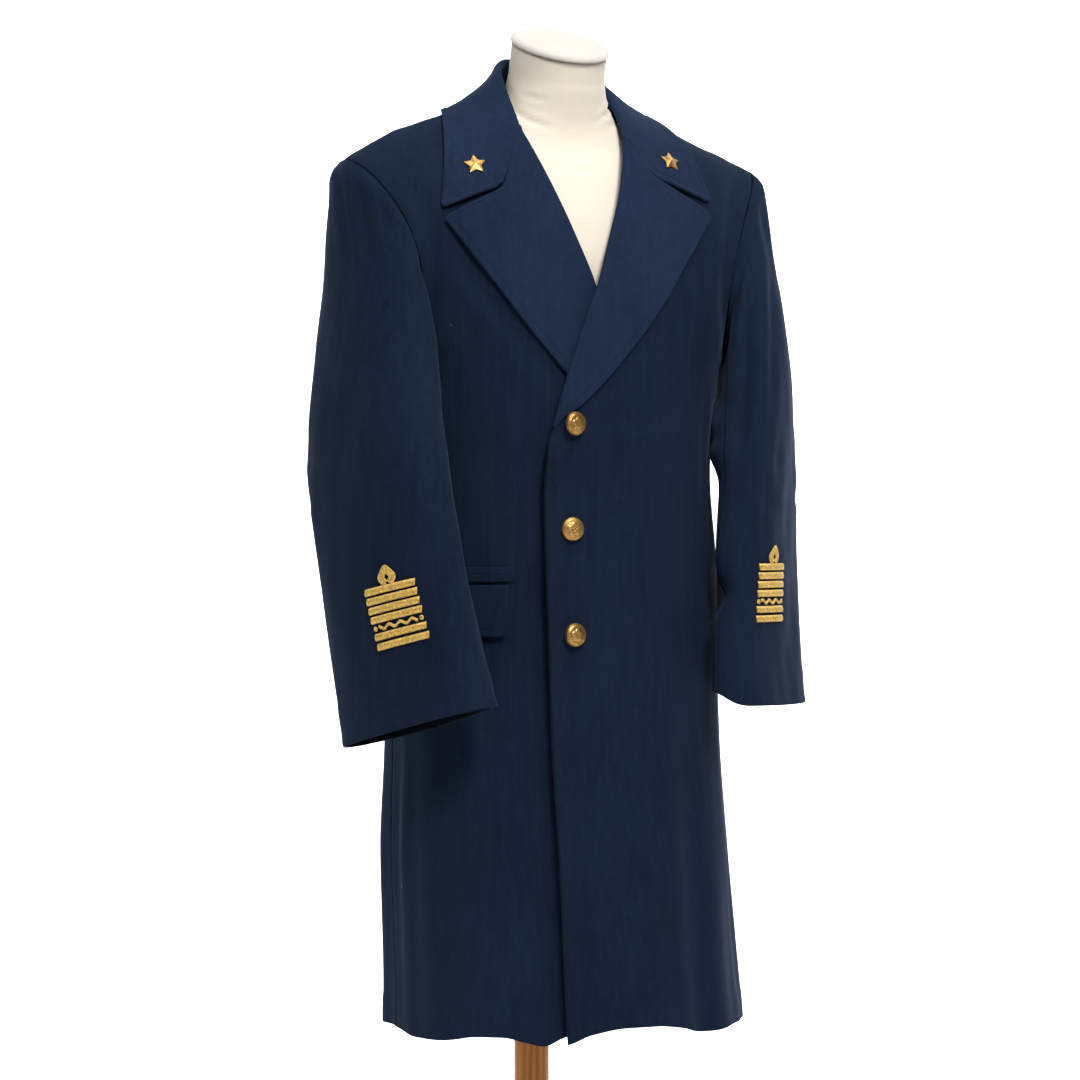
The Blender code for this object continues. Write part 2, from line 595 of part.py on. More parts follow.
def neck_seam(w, side):
    """Edge of the body cloth around the neck, matched to the collar's length."""
    w = float(w)
    if w > 0.58:
        t = np.interp(w, [0.58, 1.0], [1.0, 0.755])
        return coat(UNDERARM_Z + t * (SHOULDER_Z - UNDERARM_Z), 0.0, side)
    t = np.interp(w, [0.0, 0.20, 0.40, 0.58], [0.80, 0.87, 0.93, 1.0])
    return coat(UNDERARM_Z + t * (SHOULDER_Z - UNDERARM_Z), 0.0, side, True)


def collar_stand_half(side, ws):
    p = np.zeros((len(ws), 3, 3))
    for i, w in enumerate(ws):
        c = rows(COLLAR, w)
        top = c[0:3].copy()
        away = unit(np.array([top[0], top[1] - 0.055, 0.0]))
        top = top - away * 0.0018 - np.array([0, 0, 0.0010])
        low = neck_seam(w, side) - away * (CLOTH_T + 2 * SEAM_GAP) + np.array([0, 0, 0.0005])
        for j, t in enumerate((0.0, 0.5, 1.0)):
            p[i, j] = low + (top - low) * t
    return p


def both_sides(half_r, half_l):
    """Join the right half (end to middle) and the left half (middle to end)."""
    r = half_r[::-1].copy()
    r[..., 0] *= -1.0
    return np.concatenate([r[:-1], half_l])


WS = np.array([0.0, 0.10, 0.20, 0.30, 0.40, 0.49, 0.58, 0.65, 0.72, 0.79, 0.86, 0.93, 1.0])
fall = both_sides(collar_fall_half("right", WS), collar_fall_half("left", WS))
cloth_sheet("collar_fall", fall, "left", TURNED_T)
WS_STAND = WS[:-2]
stand = both_sides(collar_stand_half("right", WS_STAND), collar_stand_half("left", WS_STAND))
cloth_sheet("collar_stand", stand, "left", CLOTH_T)
for SIDE in ("left", "right"):
    cloth_sheet("lapel_" + SIDE, lapel_grid(SIDE), SIDE, TURNED_T)


# ------------------------------------------------------------------ sleeves
SLEEVE_STEPS = (0.0, 0.035, 0.08, 0.14, 0.20, 0.27, 0.35, 0.44, 0.53, 0.63, 0.73, 0.83, 0.92, 1.0)
for SIDE in ("left", "right"):
    a0, a1 = (math.radians(d) for d in UPPER_SLEEVE_DEG)
    st = np.array(SLEEVE_STEPS)[:, None]
    gap = 0.0100
    al = np.linspace(a0 + gap, a1 - gap, 17)[None, :]
    cloth_sheet("sleeve_" + SIDE + "_upper", sleeve(st, al, SIDE), SIDE, CLOTH_T)
    al = np.linspace(a1 + gap, a0 + 2 * math.pi - gap, 8)[None, :]
    cloth_sheet("sleeve_" + SIDE + "_under", sleeve(st, al, SIDE), SIDE, CLOTH_T)


# ------------------------------------------------------------------ pockets
def around(level, s, side, out):
    """Point of the coat at a height, with s running from the centre front (0) over
    the side seam (1) and on toward the centre back."""
    p = front(level, np.minimum(s, 0.999), side, out)
    b = coat(level, np.clip(2 - s, 0, 0.999), side, True)
    b = b + coat_normal(level, np.clip(2 - s, 0, 0.999), side, True) * out[..., None]
    return np.where((s > 1)[..., None], b, p)


def pocket_start(z, side, x0):
    """Place around the coat of own-side x0 on the front, at height z."""
    lv, u = front_uv(x0, z, side)
    return float(lv), float(u)


def flap_grid(side):
    """Pocket flap, hanging from under the band and standing off at its lower edge."""
    cols, nr = 9, 5
    row = POCKET[side]
    p = np.zeros((nr, cols, 3))
    for i in range(nr):
        k = i / (nr - 1)
        z = FLAP_TOP_Z + row["up"] - FLAP_H * k
        lv, u = pocket_start(z, side, row["front_x"] + (0.0060 if side == "left" else 0.0080 + 0.0030 * k))
        s = np.linspace(u, row["end"] - 0.012, cols)
        off = k ** 1.15 * np.linspace(row["off_front"], row["off_rear"], cols)
        p[i] = around(np.full(cols, lv), s, side, CLOTH_T / 2 + TURNED_T / 2 + 0.0006 + off)
        p[i, :, 2] += off * off / (2 * FLAP_H) * 1.2
    return p


def band_grid(side):
    cols = 9
    row = POCKET[side]
    p = np.zeros((3, cols, 3))
    for i, z in enumerate((BAND_Z[0], (BAND_Z[0] + BAND_Z[1]) / 2, BAND_Z[1])):
        lv, u = pocket_start(z + row["up"], side, row["front_x"])
        out = np.full(cols, CLOTH_T / 2 + 0.0010 + SEAM_GAP * 2)
        p[i] = around(np.full(cols, lv), np.linspace(u, row["end"], cols), side, out)
    return p


for SIDE in ("left", "right"):
    cloth_sheet("pocket_flap_" + SIDE, flap_grid(SIDE), SIDE, TURNED_T)
    cloth_sheet("pocket_band_" + SIDE, band_grid(SIDE), SIDE, 0.0020)


# ------------------------------------------------------------------ buttons
BUTTON_PROFILE = [(0.0, BUTTON_H), (0.0050, BUTTON_H * 0.95), (0.0090, BUTTON_H * 0.79), (0.0116, BUTTON_H * 0.55),
                  (BUTTON_R, 0.0030), (BUTTON_R, 0.0018), (0.0118, 0.0010), (0.0030, 0.0010), (0.0030, 0.0), (0.0, 0.0)]
for NAME, Z in BUTTON_Z.items():
    lv, u = front_uv(BUTTON_X, Z, "left")
    point = world(front(lv, u, "left", CLOTH_T / 2 + SEAM_GAP), "left")
    normal = world(coat_normal(lv, u, "left"), "left")
    turned("button_" + NAME, BUTTON_PROFILE, 24, "gilt", placed(point, normal))


# ------------------------------------------------------------------ collar stars
def star(name, matrix):
    bm = bmesh.new()
    bmesh.ops.create_circle(bm, cap_ends=True, segments=10, radius=1.0)
    bm.verts.ensure_lookup_table()
    for i, v in enumerate(bm.verts):
        a = math.pi / 2 + i * math.pi / 5
        r = STAR_R if i % 2 == 0 else STAR_R * 0.45
        v.co = (r * math.cos(a), r * math.sin(a), 0.0)
    bmesh.ops.recalc_face_normals(bm, faces=bm.faces)
    me = bpy.data.meshes.new(name)
    bm.to_mesh(me)
    bm.free()
    ob = add(name, me, "gilt")
    so = ob.modifiers.new("wall", "SOLIDIFY")
    so.thickness = 0.0018
    so.offset = 0.0
    ob.matrix_world = matrix
    return ob


for SIDE in ("left", "right"):
    half = collar_fall_half(SIDE, np.linspace(0.70, 1.0, 30), np.linspace(0.2, 0.9, 30))
    nrm = grid_normals(half)
    d = np.hypot(half[..., 0] - STAR_AT[SIDE][0], half[..., 2] - STAR_AT[SIDE][1])
    i, j = np.unravel_index(int(np.argmin(d)), d.shape)
    n = nrm[i, j] if nrm[i, j][1] > 0 else -nrm[i, j]
    star("collar_star_" + SIDE, placed(world(half[i, j] + n * (TURNED_T / 2 + 0.0018), SIDE), world(n, SIDE)))


# ------------------------------------------------------------------ sleeve rank
def rank_point(side, across, up, out):
    """Point on the sleeve's outside: across forward from the rank's middle line,
    up from the lowest bar, both along the cloth."""
    a_mid = math.radians(RANK_MID_DEG[side])
    up = up + RANK_FROM_CUFF[side] + across * RANK_TILT[side]
    steps = np.linspace(1.0, 0.60, 60)
    line = sleeve(steps, np.full(60, a_mid), side, out)
    run = np.concatenate([[0], np.cumsum(np.linalg.norm(np.diff(line, axis=0), axis=1))])
    st = np.interp(up, run, steps)
    al = np.linspace(a_mid - 1.2, a_mid + 1.2, 121)
    ring = sleeve(np.full(121, st), al, side, out)
    arc = np.concatenate([[0], np.cumsum(np.linalg.norm(np.diff(ring, axis=0), axis=1))])
    arc -= arc[60]
    return sleeve(st, np.interp(across, arc, al), side, out)


RANK_OUT = CLOTH_T / 2 + SEAM_GAP + 0.0009
RANK_ROWS = (           # name, up from the lowest bar, height of the row
    ("bar_6", 0.0000, 0.0075), ("bar_5", 0.0105, 0.0075), ("bar_4", 0.0285, 0.0077),
    ("bar_3", 0.0385, 0.0077), ("bar_2", 0.0485, 0.0077), ("bar_1", 0.0585, 0.0077),
)
for SIDE in ("left", "right"):
    for NAME, UP, TALL in RANK_ROWS:
        xs = np.linspace(-RANK_W[SIDE] / 2, RANK_W[SIDE] / 2, 12)
        p = np.array([[rank_point(SIDE, x, UP + k * TALL, RANK_OUT) for x in xs] for k in (0.0, 1.0)])
        cloth_sheet("rank_" + SIDE + "_" + NAME, p, SIDE, 0.0012, "braid")
    # waved line between the two groups of bars
    xs = np.linspace(-RANK_W[SIDE] * 0.46, RANK_W[SIDE] * 0.46, 15)
    p = np.array([[rank_point(SIDE, x, 0.0218 + 0.0012 * math.sin(x * 420.0) + k * 0.0026, RANK_OUT)
                   for x in xs] for k in (0.0, 1.0)])
    cloth_sheet("rank_" + SIDE + "_wave", p, SIDE, 0.0012, "braid")
    # pointed loop with its hole, above the bars
    base = 0.0668
    loop = []
    for r in (1.0, 0.36):
        ring = []
        for i in range(17):
            a = 2 * math.pi * i / 16
            q = r * 0.0118 / (abs(math.cos(a)) ** 1.15 + abs(math.sin(a)) ** 1.15) ** (1 / 1.15)
            ring.append(rank_point(SIDE, q * math.cos(a), base + 0.0121 + q * math.sin(a), RANK_OUT))
        loop.append(ring)
    pts = world(np.array(loop), SIDE)
    bm = bmesh.new()
    vs = [[bm.verts.new(pts[k, i]) for i in range(16)] for k in (0, 1)]
    for i in range(16):
        bm.faces.new([vs[0][i], vs[0][(i + 1) % 16], vs[1][(i + 1) % 16], vs[1][i]])
    me = bpy.data.meshes.new("rank_" + SIDE + "_loop")
    bm.to_mesh(me)
    bm.free()
    ob = add("rank_" + SIDE + "_loop", me, "braid")
    so = ob.modifiers.new("wall", "SOLIDIFY")
    so.thickness = 0.0012
    so.offset = 0.0


# ------------------------------------------------------------------ dress form and stand
def neck_ring(z, n):
    """Elliptical neck, leaning forward a little as it rises."""
    mid = 0.062 + (CAP_MID[0] - 0.062) * (z - 1.470) / (CAP_MID[1] - 1.470)
    a = np.linspace(0, 2 * math.pi, n, endpoint=False)
    return np.stack([NECK_A * np.sin(a), mid + NECK_B * np.cos(a), np.full(n, z)], -1)


def form_torso():
    n = 40
    a = np.linspace(0, 2 * math.pi, n, endpoint=False)
    rings = []
    zs = [0.8000, 0.8060, 0.8300, 0.8700, 0.9200, 0.9800, 1.0400, 1.1000, 1.1600, 1.2100, 1.2550, 1.2950, 1.3300,
          1.3600, 1.3850, 1.4050, 1.4220, 1.4370, 1.4520, 1.4700]
    for z in zs:
        half, fr, bk, mid = rows(FORM, z)
        s, c = np.sin(a), np.cos(a)
        e = 2.0 + 0.35 * float(1 - ease(1.33, 1.45, z))
        r = 1.0 / (np.abs(s) ** e + np.abs(c) ** e) ** (1.0 / e)
        rings.append(np.stack([half * s * r, mid + np.where(c > 0, fr - mid, mid - bk) * c * r, np.full(n, z)], -1))
    for k in (1.487, 1.503):
        rings.append(neck_ring(k, n))
    top = neck_ring(CAP_MID[1], n)
    top[:, 2] = CAP_MID[1] - CAP_SLOPE * (top[:, 1] - CAP_MID[0])
    rings[-1][:, 2] = np.minimum(rings[-1][:, 2], top[:, 2] - 0.006 - 0.0 * top[:, 1])
    rings[-2][:, 2] = np.minimum(rings[-2][:, 2], rings[-1][:, 2] - 0.005)
    rings.append(top)
    p = world(np.array(rings), "left")
    bm = bmesh.new()
    vs = [[bm.verts.new(q) for q in r] for r in p]
    for i in range(len(vs) - 1):
        for j in range(n):
            bm.faces.new([vs[i][j], vs[i][(j + 1) % n], vs[i + 1][(j + 1) % n], vs[i + 1][j]])
    bm.faces.new(vs[0][::-1])
    bm.faces.new(vs[-1])
    bmesh.ops.recalc_face_normals(bm, faces=bm.faces)
    me = bpy.data.meshes.new("form_torso")
    bm.to_mesh(me)
    bm.free()
    me.shade_smooth()
    return add("form_torso", me, "jersey")


form_torso()

# cap on the neck: a low disc on the sloping cut
tilt = math.atan(CAP_SLOPE)
cap_profile = [(0.0, CAP_T), (0.70, CAP_T), (0.93, CAP_T * 0.80), (1.0, CAP_T * 0.45), (1.0, CAP_T * 0.25), (0.96, 0.0), (0.0, 0.0)]
cap = turned("form_neck_cap", cap_profile, 40, "jersey")
slope = Matrix.Rotation(tilt, 4, "X")
lift = Matrix.Translation((0.0, -CAP_MID[0], CAP_MID[1])) @ slope @ Matrix.Translation((0, 0, SEAM_GAP))
cap.matrix_world = lift @ Matrix.Diagonal((NECK_A + 0.0010, (NECK_B + 0.0010) / math.cos(tilt), 1.0, 1.0))

bpy.ops.mesh.primitive_cylinder_add(vertices=40, radius=POST_R, depth=FORM_BOTTOM_Z - BASE_H - 2 * SEAM_GAP,
                                    location=(0, 0, (FORM_BOTTOM_Z + BASE_H) / 2))
post = bpy.context.object
post_mesh = post.data
post_matrix = post.matrix_world.copy()
bpy.data.objects.remove(post, do_unlink=True)
stand_post = add("stand_post", post_mesh, "wood")
stand_post.location = (0, 0, (FORM_BOTTOM_Z + BASE_H) / 2)

base_profile = [(0.0, BASE_H), (BASE_R - 0.030, BASE_H), (BASE_R - 0.012, BASE_H - 0.003), (BASE_R - 0.003, BASE_H - 0.010),
                (BASE_R, BASE_H - 0.018), (BASE_R, 0.004), (BASE_R - 0.003, 0.0), (0.0, 0.0)]
turned("stand_base", base_profile, 56, "wood")
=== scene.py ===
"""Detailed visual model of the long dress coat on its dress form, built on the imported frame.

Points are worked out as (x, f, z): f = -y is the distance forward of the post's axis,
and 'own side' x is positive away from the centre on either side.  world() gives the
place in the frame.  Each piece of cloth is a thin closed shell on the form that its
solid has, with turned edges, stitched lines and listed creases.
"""
import bpy
import bmesh
import math
import numpy as np
from mathutils import Matrix, Vector

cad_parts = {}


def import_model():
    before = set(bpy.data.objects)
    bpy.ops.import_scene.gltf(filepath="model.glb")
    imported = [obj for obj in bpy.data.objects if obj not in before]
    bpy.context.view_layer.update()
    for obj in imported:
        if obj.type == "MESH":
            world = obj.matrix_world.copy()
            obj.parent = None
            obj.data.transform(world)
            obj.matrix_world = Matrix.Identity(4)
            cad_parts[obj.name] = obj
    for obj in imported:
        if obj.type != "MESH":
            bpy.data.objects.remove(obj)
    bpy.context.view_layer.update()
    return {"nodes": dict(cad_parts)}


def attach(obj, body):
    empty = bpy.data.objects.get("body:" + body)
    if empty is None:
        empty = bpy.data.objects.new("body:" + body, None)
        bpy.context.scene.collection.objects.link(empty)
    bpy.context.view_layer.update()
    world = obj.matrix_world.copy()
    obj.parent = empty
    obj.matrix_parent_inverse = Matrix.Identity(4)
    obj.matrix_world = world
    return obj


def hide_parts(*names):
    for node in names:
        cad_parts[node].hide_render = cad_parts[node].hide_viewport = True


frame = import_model()

# ------------------------------------------------------------------ driving sizes
CLOTH_T = 0.0025            # coating cloth of the panels and sleeves
TURNED_T = 0.0030           # lapels, collar and flaps: cloth turned and pressed double
SEAM_GAP = 0.0003           # gap between neighbouring pieces
HEM_Z = 0.437               # hem above the floor
SHOULDER_DROP_R = 0.005     # right shoulder sits a little lower than the left
SHOULDER_FULL_R = 0.007     # and its seam is a little rounder

ARM_MID = (0.2215, 0.047, 1.2815)   # middle of the armhole, own side
ARM_LEAN = math.radians(12.0)       # armhole plane leans out at the top
ARM_HALF_H = 0.1155                 # half height of the armhole
ARM_HALF_D = 0.0790                 # half depth, front to back
ARM_SCOOP_F = 0.030                 # the armhole cuts in at the front
ARM_SCOOP_B = 0.022                 # and at the back

BUTTON_R = 0.0130
BUTTON_H = 0.0085
BUTTON_X = -0.0375                  # line of the buttons, past the centre
BUTTON_Z = {"top": 1.1030, "middle": 0.9890, "bottom": 0.8745}

FLAP_H = 0.056                      # pocket flap
FLAP_TOP_Z = 0.9285
BAND_Z = (0.9320, 0.9480)           # sewn band above the flap
# the right pocket is on the front, the left one hangs further round, at the side
POCKET = {
    "left": {"front_x": 0.1800, "end": 1.32, "up": 0.0115, "off_front": 0.0195, "off_rear": 0.0130},
    "right": {"front_x": 0.0955, "end": 0.962, "up": 0.0, "off_front": 0.0040, "off_rear": 0.0080},
}
STAR_R = 0.0128                     # collar star, tip radius
STAR_AT = {"left": (0.1125, 1.3925), "right": (0.1270, 1.3815)}   # own-side x and z

RANK_W = {"left": 0.0550, "right": 0.0660}              # sleeve rank: width of the bars
RANK_FROM_CUFF = {"left": 0.0925, "right": 0.0885}      # lowest bar above the cuff edge
RANK_MID_DEG = {"left": 27.5, "right": 20.5}            # how far forward it sits on the sleeve
RANK_TILT = {"left": -0.075, "right": 0.045}            # rise of the bars, per length, toward the front

POST_R = 0.0198
BASE_R = 0.190
BASE_H = 0.028
FORM_BOTTOM_Z = 0.800

UNDERARM_Z = ARM_MID[2] - ARM_HALF_H * math.cos(ARM_LEAN)
SHOULDER_Z = ARM_MID[2] + ARM_HALF_H * math.cos(ARM_LEAN)

# sections of the coat below the armhole, one row per height
BODY_COLS = ("z", "half_left", "half_right", "front", "side", "back", "fullness")
BODY = (
    (0.437, 0.2055, 0.1985, 0.234, 0.080, -0.062, 0.62),
    (0.520, 0.2010, 0.1970, 0.224, 0.072, -0.064, 0.62),
    (0.630, 0.1985, 0.1965, 0.210, 0.060, -0.066, 0.62),
    (0.750, 0.1950, 0.1910, 0.192, 0.052, -0.068, 0.62),
    (0.860, 0.1950, 0.1890, 0.183, 0.048, -0.070, 0.62),
    (0.960, 0.1930, 0.1880, 0.180, 0.045, -0.070, 0.62),
    (1.050, 0.1860, 0.1840, 0.179, 0.045, -0.071, 0.62),
    (1.110, 0.1900, 0.1880, 0.1785, 0.046, -0.076, 0.62),
    (UNDERARM_Z, 0.1975, 0.1975, 0.178, 0.047, -0.083, 0.62),
)
# inner edge of the rows between the underarm (0) and the shoulder seam (1); the
# corner shares say where the row's two end directions meet
UPPER_COLS = ("step", "x", "f", "z", "corner_x", "corner_f")
UPPER_FRONT = (
    (0.00, 0.0000, 0.1780, UNDERARM_Z, 1.00, 0.00),
    (0.28, 0.0000, 0.1750, 1.2580, 0.86, 0.03),
    (0.42, 0.0215, 0.1640, 1.3120, 0.72, 0.06),
    (0.56, 0.0380, 0.1490, 1.3550, 0.62, 0.00),
    (0.72, 0.0560, 0.1240, 1.4020, 0.55, 0.10),
    (0.82, 0.0665, 0.1030, 1.4300, 0.52, 0.25),
    (0.91, 0.0715, 0.0780, 1.4520, 0.50, 0.40),
    (1.00, 0.0730, 0.0500, 1.4680, 0.50, 0.50),
)
UPPER_BACK = (
    (0.00, 0.0000, -0.0830, UNDERARM_Z, 1.00, 0.00),
    (0.30, 0.0000, -0.0880, 1.2700, 0.85, 0.02),
    (0.58, 0.0000, -0.0810, 1.3700, 0.70, 0.05),
    (0.80, 0.0000, -0.0500, 1.4500, 0.55, 0.20),
    (0.90, 0.0420, -0.0180, 1.4620, 0.52, 0.35),
    (1.00, 0.0730, 0.0500, 1.4680, 0.50, 0.50),
)
# front edge of each panel and, above the crossing, the fold of its lapel: height and own-side x
FRONT_EDGE = {
    "left": ((0.437, -0.0665), (0.800, -0.0652), (0.950, -0.0676), (1.030, -0.0684), (1.078, -0.0640), (1.105, -0.0560),
             (1.155, -0.0415), (1.205, -0.0245), (1.231, -0.0148), (1.258, -0.0035), (1.290, 0.0105), (1.3185, 0.0230),
             (1.350, 0.0362), (1.390, 0.0515), (1.4233, 0.0632), (1.440, 0.0676), (1.452, 0.0715), (1.468, 0.0730)),
    "right": ((0.437, -0.0350), (0.800, -0.0370), (0.950, -0.0377), (1.030, -0.0378), (1.078, -0.0357), (1.105, -0.0325),
              (1.155, -0.0230), (1.205, -0.0105), (1.231, -0.0010), (1.258, 0.0093), (1.295, 0.0233), (1.334, 0.0372),
              (1.370, 0.0495), (1.4045, 0.0605), (1.4219, 0.0657), (1.4404, 0.0697), (1.452, 0.0716), (1.468, 0.0730)),
}
# lapels: own-side x of the outer edge
BREAK_Z = {"left": 1.0985, "right": 1.085}
LAPEL_EDGE = {
    "left": ((1.0985, -0.0562), (1.109, -0.0479), (1.1209, -0.0310), (1.150, -0.0010), (1.183, 0.0290), (1.2232, 0.0630),
             (1.2762, 0.1095), (1.336, 0.1560)),
    "right": ((1.085, -0.0250), (1.120, 0.0060), (1.155, 0.0390), (1.2232, 0.0950), (1.2762, 0.1325), (1.321, 0.1650)),
}
GORGE = {"left": (0.0597, 1.4130), "right": (0.0670, 1.4280)}   # collar and lapel meet on the fold here
NOTCH = {"left": (0.0815, 1.3740), "right": (0.1005, 1.3578)}       # inner end of the notch
LAPEL_TIP = {"left": (0.1560, 1.3360), "right": (0.1690, 1.3262)}
COLLAR_TIP = {"left": (0.1560, 1.3475), "right": (0.1690, 1.3318)}

# collar, from the centre back (0) to its front end (1)
COLLAR_COLS = ("w", "fold_x", "fold_f", "fold_z", "edge_x", "edge_f", "edge_z")
COLLAR = (
    (0.00, 0.0000, -0.0130, 1.5150, 0.0000, -0.0790, 1.4530),
    (0.20, 0.0280, -0.0080, 1.5140, 0.0480, -0.0700, 1.4560),
    (0.40, 0.0500, 0.0160, 1.5030, 0.0900, -0.0330, 1.4560),
    (0.58, 0.0630, 0.0530, 1.4860, 0.1180, 0.0230, 1.4480),
    (0.72, 0.0668, 0.0790, 1.4630, 0.1350, 0.0650, 1.4200),
    (0.86, 0.0650, 0.0990, 1.4390, 0.1500, 0.0980, 1.3830),
    (1.00, 0.0600, 0.1160, 1.4130, 0.1660, 0.1280, 1.3430),
)

# rings of the sleeves, from the armhole (0) to the cuff (1)
SLEEVE_COLS = ("step", "mid_x", "mid_f", "mid_z", "lean_deg", "turn_deg", "tilt_deg", "half_thick", "half_wide")
SLEEVE = {
    "right": (
        (0.00, ARM_MID[0], ARM_MID[1], ARM_MID[2], 12.0, 0.0, 0.0, ARM_HALF_H, ARM_HALF_D),
        (0.06, 0.2295, 0.053, 1.2690, 14.0, 4.0, 0.0, 0.1100, 0.0790),
        (0.14, 0.2320, 0.063, 1.2430, 17.5, 10.0, 1.0, 0.0950, 0.0780),
        (0.24, 0.2325, 0.077, 1.2030, 26.0, 16.0, 2.0, 0.0725, 0.0780),
        (0.35, 0.2325, 0.090, 1.1520, 47.0, 19.0, 3.0, 0.0535, 0.0810),
        (0.46, 0.2340, 0.102, 1.1040, 71.0, 21.0, 4.0, 0.0450, 0.0870),
        (0.56, 0.2350, 0.113, 1.0540, 88.0, 22.0, 5.0, 0.0430, 0.0920),
        (0.74, 0.2270, 0.131, 0.9490, 90.0, 23.0, 9.0, 0.0435, 0.0925),
        (0.89, 0.2175, 0.152, 0.8520, 90.0, 29.0, 12.0, 0.0430, 0.0920),
        (1.00, 0.2105, 0.1700, 0.7765, 90.0, 37.0, 14.5, 0.0415, 0.0890),
    ),
    "left": (
        (0.00, ARM_MID[0], ARM_MID[1], ARM_MID[2], 12.0, 0.0, 0.0, ARM_HALF_H, ARM_HALF_D),
        (0.06, 0.2320, 0.053, 1.2690, 14.0, 4.0, 0.0, 0.1105, 0.0800),
        (0.14, 0.2345, 0.061, 1.2430, 17.5, 9.0, 1.0, 0.0970, 0.0800),
        (0.24, 0.2350, 0.074, 1.2030, 26.0, 17.0, 2.0, 0.0760, 0.0800),
        (0.35, 0.2340, 0.088, 1.1520, 47.0, 25.0, 3.0, 0.0555, 0.0830),
        (0.46, 0.2315, 0.101, 1.1040, 71.0, 32.0, 4.0, 0.0435, 0.0880),
        (0.56, 0.2285, 0.114, 1.0540, 88.0, 38.0, 4.0, 0.0375, 0.0905),
        (0.74, 0.2160, 0.134, 0.9520, 90.0, 46.0, 5.0, 0.0340, 0.0895),
        (0.89, 0.2065, 0.155, 0.8590, 90.0, 51.0, 5.0, 0.0325, 0.0885),
        (1.00, 0.2000, 0.1710, 0.7940, 90.0, 53.0, 2.0, 0.0320, 0.0845),
    ),
}
UPPER_SLEEVE_DEG = (-124.0, 122.0)  # the top sleeve's share of each ring

# sections of the dress form
FORM_COLS = ("z", "half", "front", "back", "mid")
FORM = (
    (0.8000, 0.1180, 0.1180, -0.0250, 0.040),
    (0.8060, 0.1420, 0.1350, -0.0420, 0.040),
    (0.8300, 0.1560, 0.1450, -0.0520, 0.040),
    (0.9000, 0.1620, 0.1480, -0.0560, 0.040),
    (0.9800, 0.1560, 0.1430, -0.0500, 0.040),
    (1.0600, 0.1500, 0.1440, -0.0480, 0.042),
    (1.1400, 0.1610, 0.1550, -0.0580, 0.044),
    (1.2100, 0.1700, 0.1660, -0.0660, 0.046),
    (1.2700, 0.1730, 0.1640, -0.0680, 0.047),
    (1.3200, 0.1710, 0.1520, -0.0660, 0.048),
    (1.3600, 0.1620, 0.1370, -0.0580, 0.050),
    (1.3900, 0.1420, 0.1240, -0.0450, 0.052),
    (1.4130, 0.1130, 0.1140, -0.0290, 0.054),
    (1.4320, 0.0840, 0.1110, -0.0130, 0.057),
    (1.4500, 0.0640, 0.1140, -0.0030, 0.060),
    (1.4700, 0.0560, 0.1200, 0.0020, 0.062),
)
NECK_A, NECK_B = 0.0530, 0.0570     # neck half width and half depth
CAP_SLOPE = 0.39                    # the neck is cut off sloping down to the front
CAP_MID = (0.073, 1.5200)           # f and z of the middle of that cut
CAP_T = 0.009



# ------------------------------------------------------------------ working functions
def curve_through(xs, ys, x):
    """Shape-preserving cubic through the rows of a table."""
    xs = np.asarray(xs, float)
    ys = np.asarray(ys, float)
    if ys.ndim == 1:
        ys = ys[:, None]
    x = np.asarray(x, float)
    h = np.diff(xs)
    d = np.diff(ys, axis=0) / h[:, None]
    m = np.zeros_like(ys)
    m[0], m[-1] = d[0], d[-1]
    for i in range(1, len(xs) - 1):
        a, b = d[i - 1], d[i]
        w1, w2 = 2 * h[i] + h[i - 1], h[i] + 2 * h[i - 1]
        sa, sb = np.where(a == 0, 1, a), np.where(b == 0, 1, b)
        m[i] = np.where(a * b > 0, (w1 + w2) / (w1 / sa + w2 / sb), 0.0)
    k = np.clip(np.searchsorted(xs, x, side="right") - 1, 0, len(xs) - 2)
    t = np.clip((x - xs[k]) / h[k], 0, 1)[..., None]
    hh = h[k][..., None]
    return ((1 + 2 * t) * (1 - t) ** 2 * ys[k] + t * (1 - t) ** 2 * hh * m[k]
            + t * t * (3 - 2 * t) * ys[k + 1] + t * t * (t - 1) * hh * m[k + 1])


def rows(table, x):
    return curve_through([r[0] for r in table], [r[1:] for r in table], x)


def ease(a, b, x):
    """Smooth step from 0 at a to 1 at b."""
    t = np.clip((np.asarray(x, float) - a) / (b - a), 0, 1)
    return t * t * (3 - 2 * t)


def unit(v):
    return v / np.maximum(np.linalg.norm(v, axis=-1, keepdims=True), 1e-12)


def armhole(al):
    """Point of the armhole: 0 at the shoulder, +90 deg at the front, 180 underarm."""
    al = np.asarray(al, float)
    c, s = np.cos(al), np.sin(al)
    lean = np.array([math.sin(ARM_LEAN), 0.0, math.cos(ARM_LEAN)])
    p = np.array(ARM_MID) + ARM_HALF_H * c[..., None] * lean + ARM_HALF_D * s[..., None] * np.array([0, 1.0, 0])
    p[..., 0] -= np.where(s > 0, ARM_SCOOP_F, ARM_SCOOP_B) * s * s
    return p


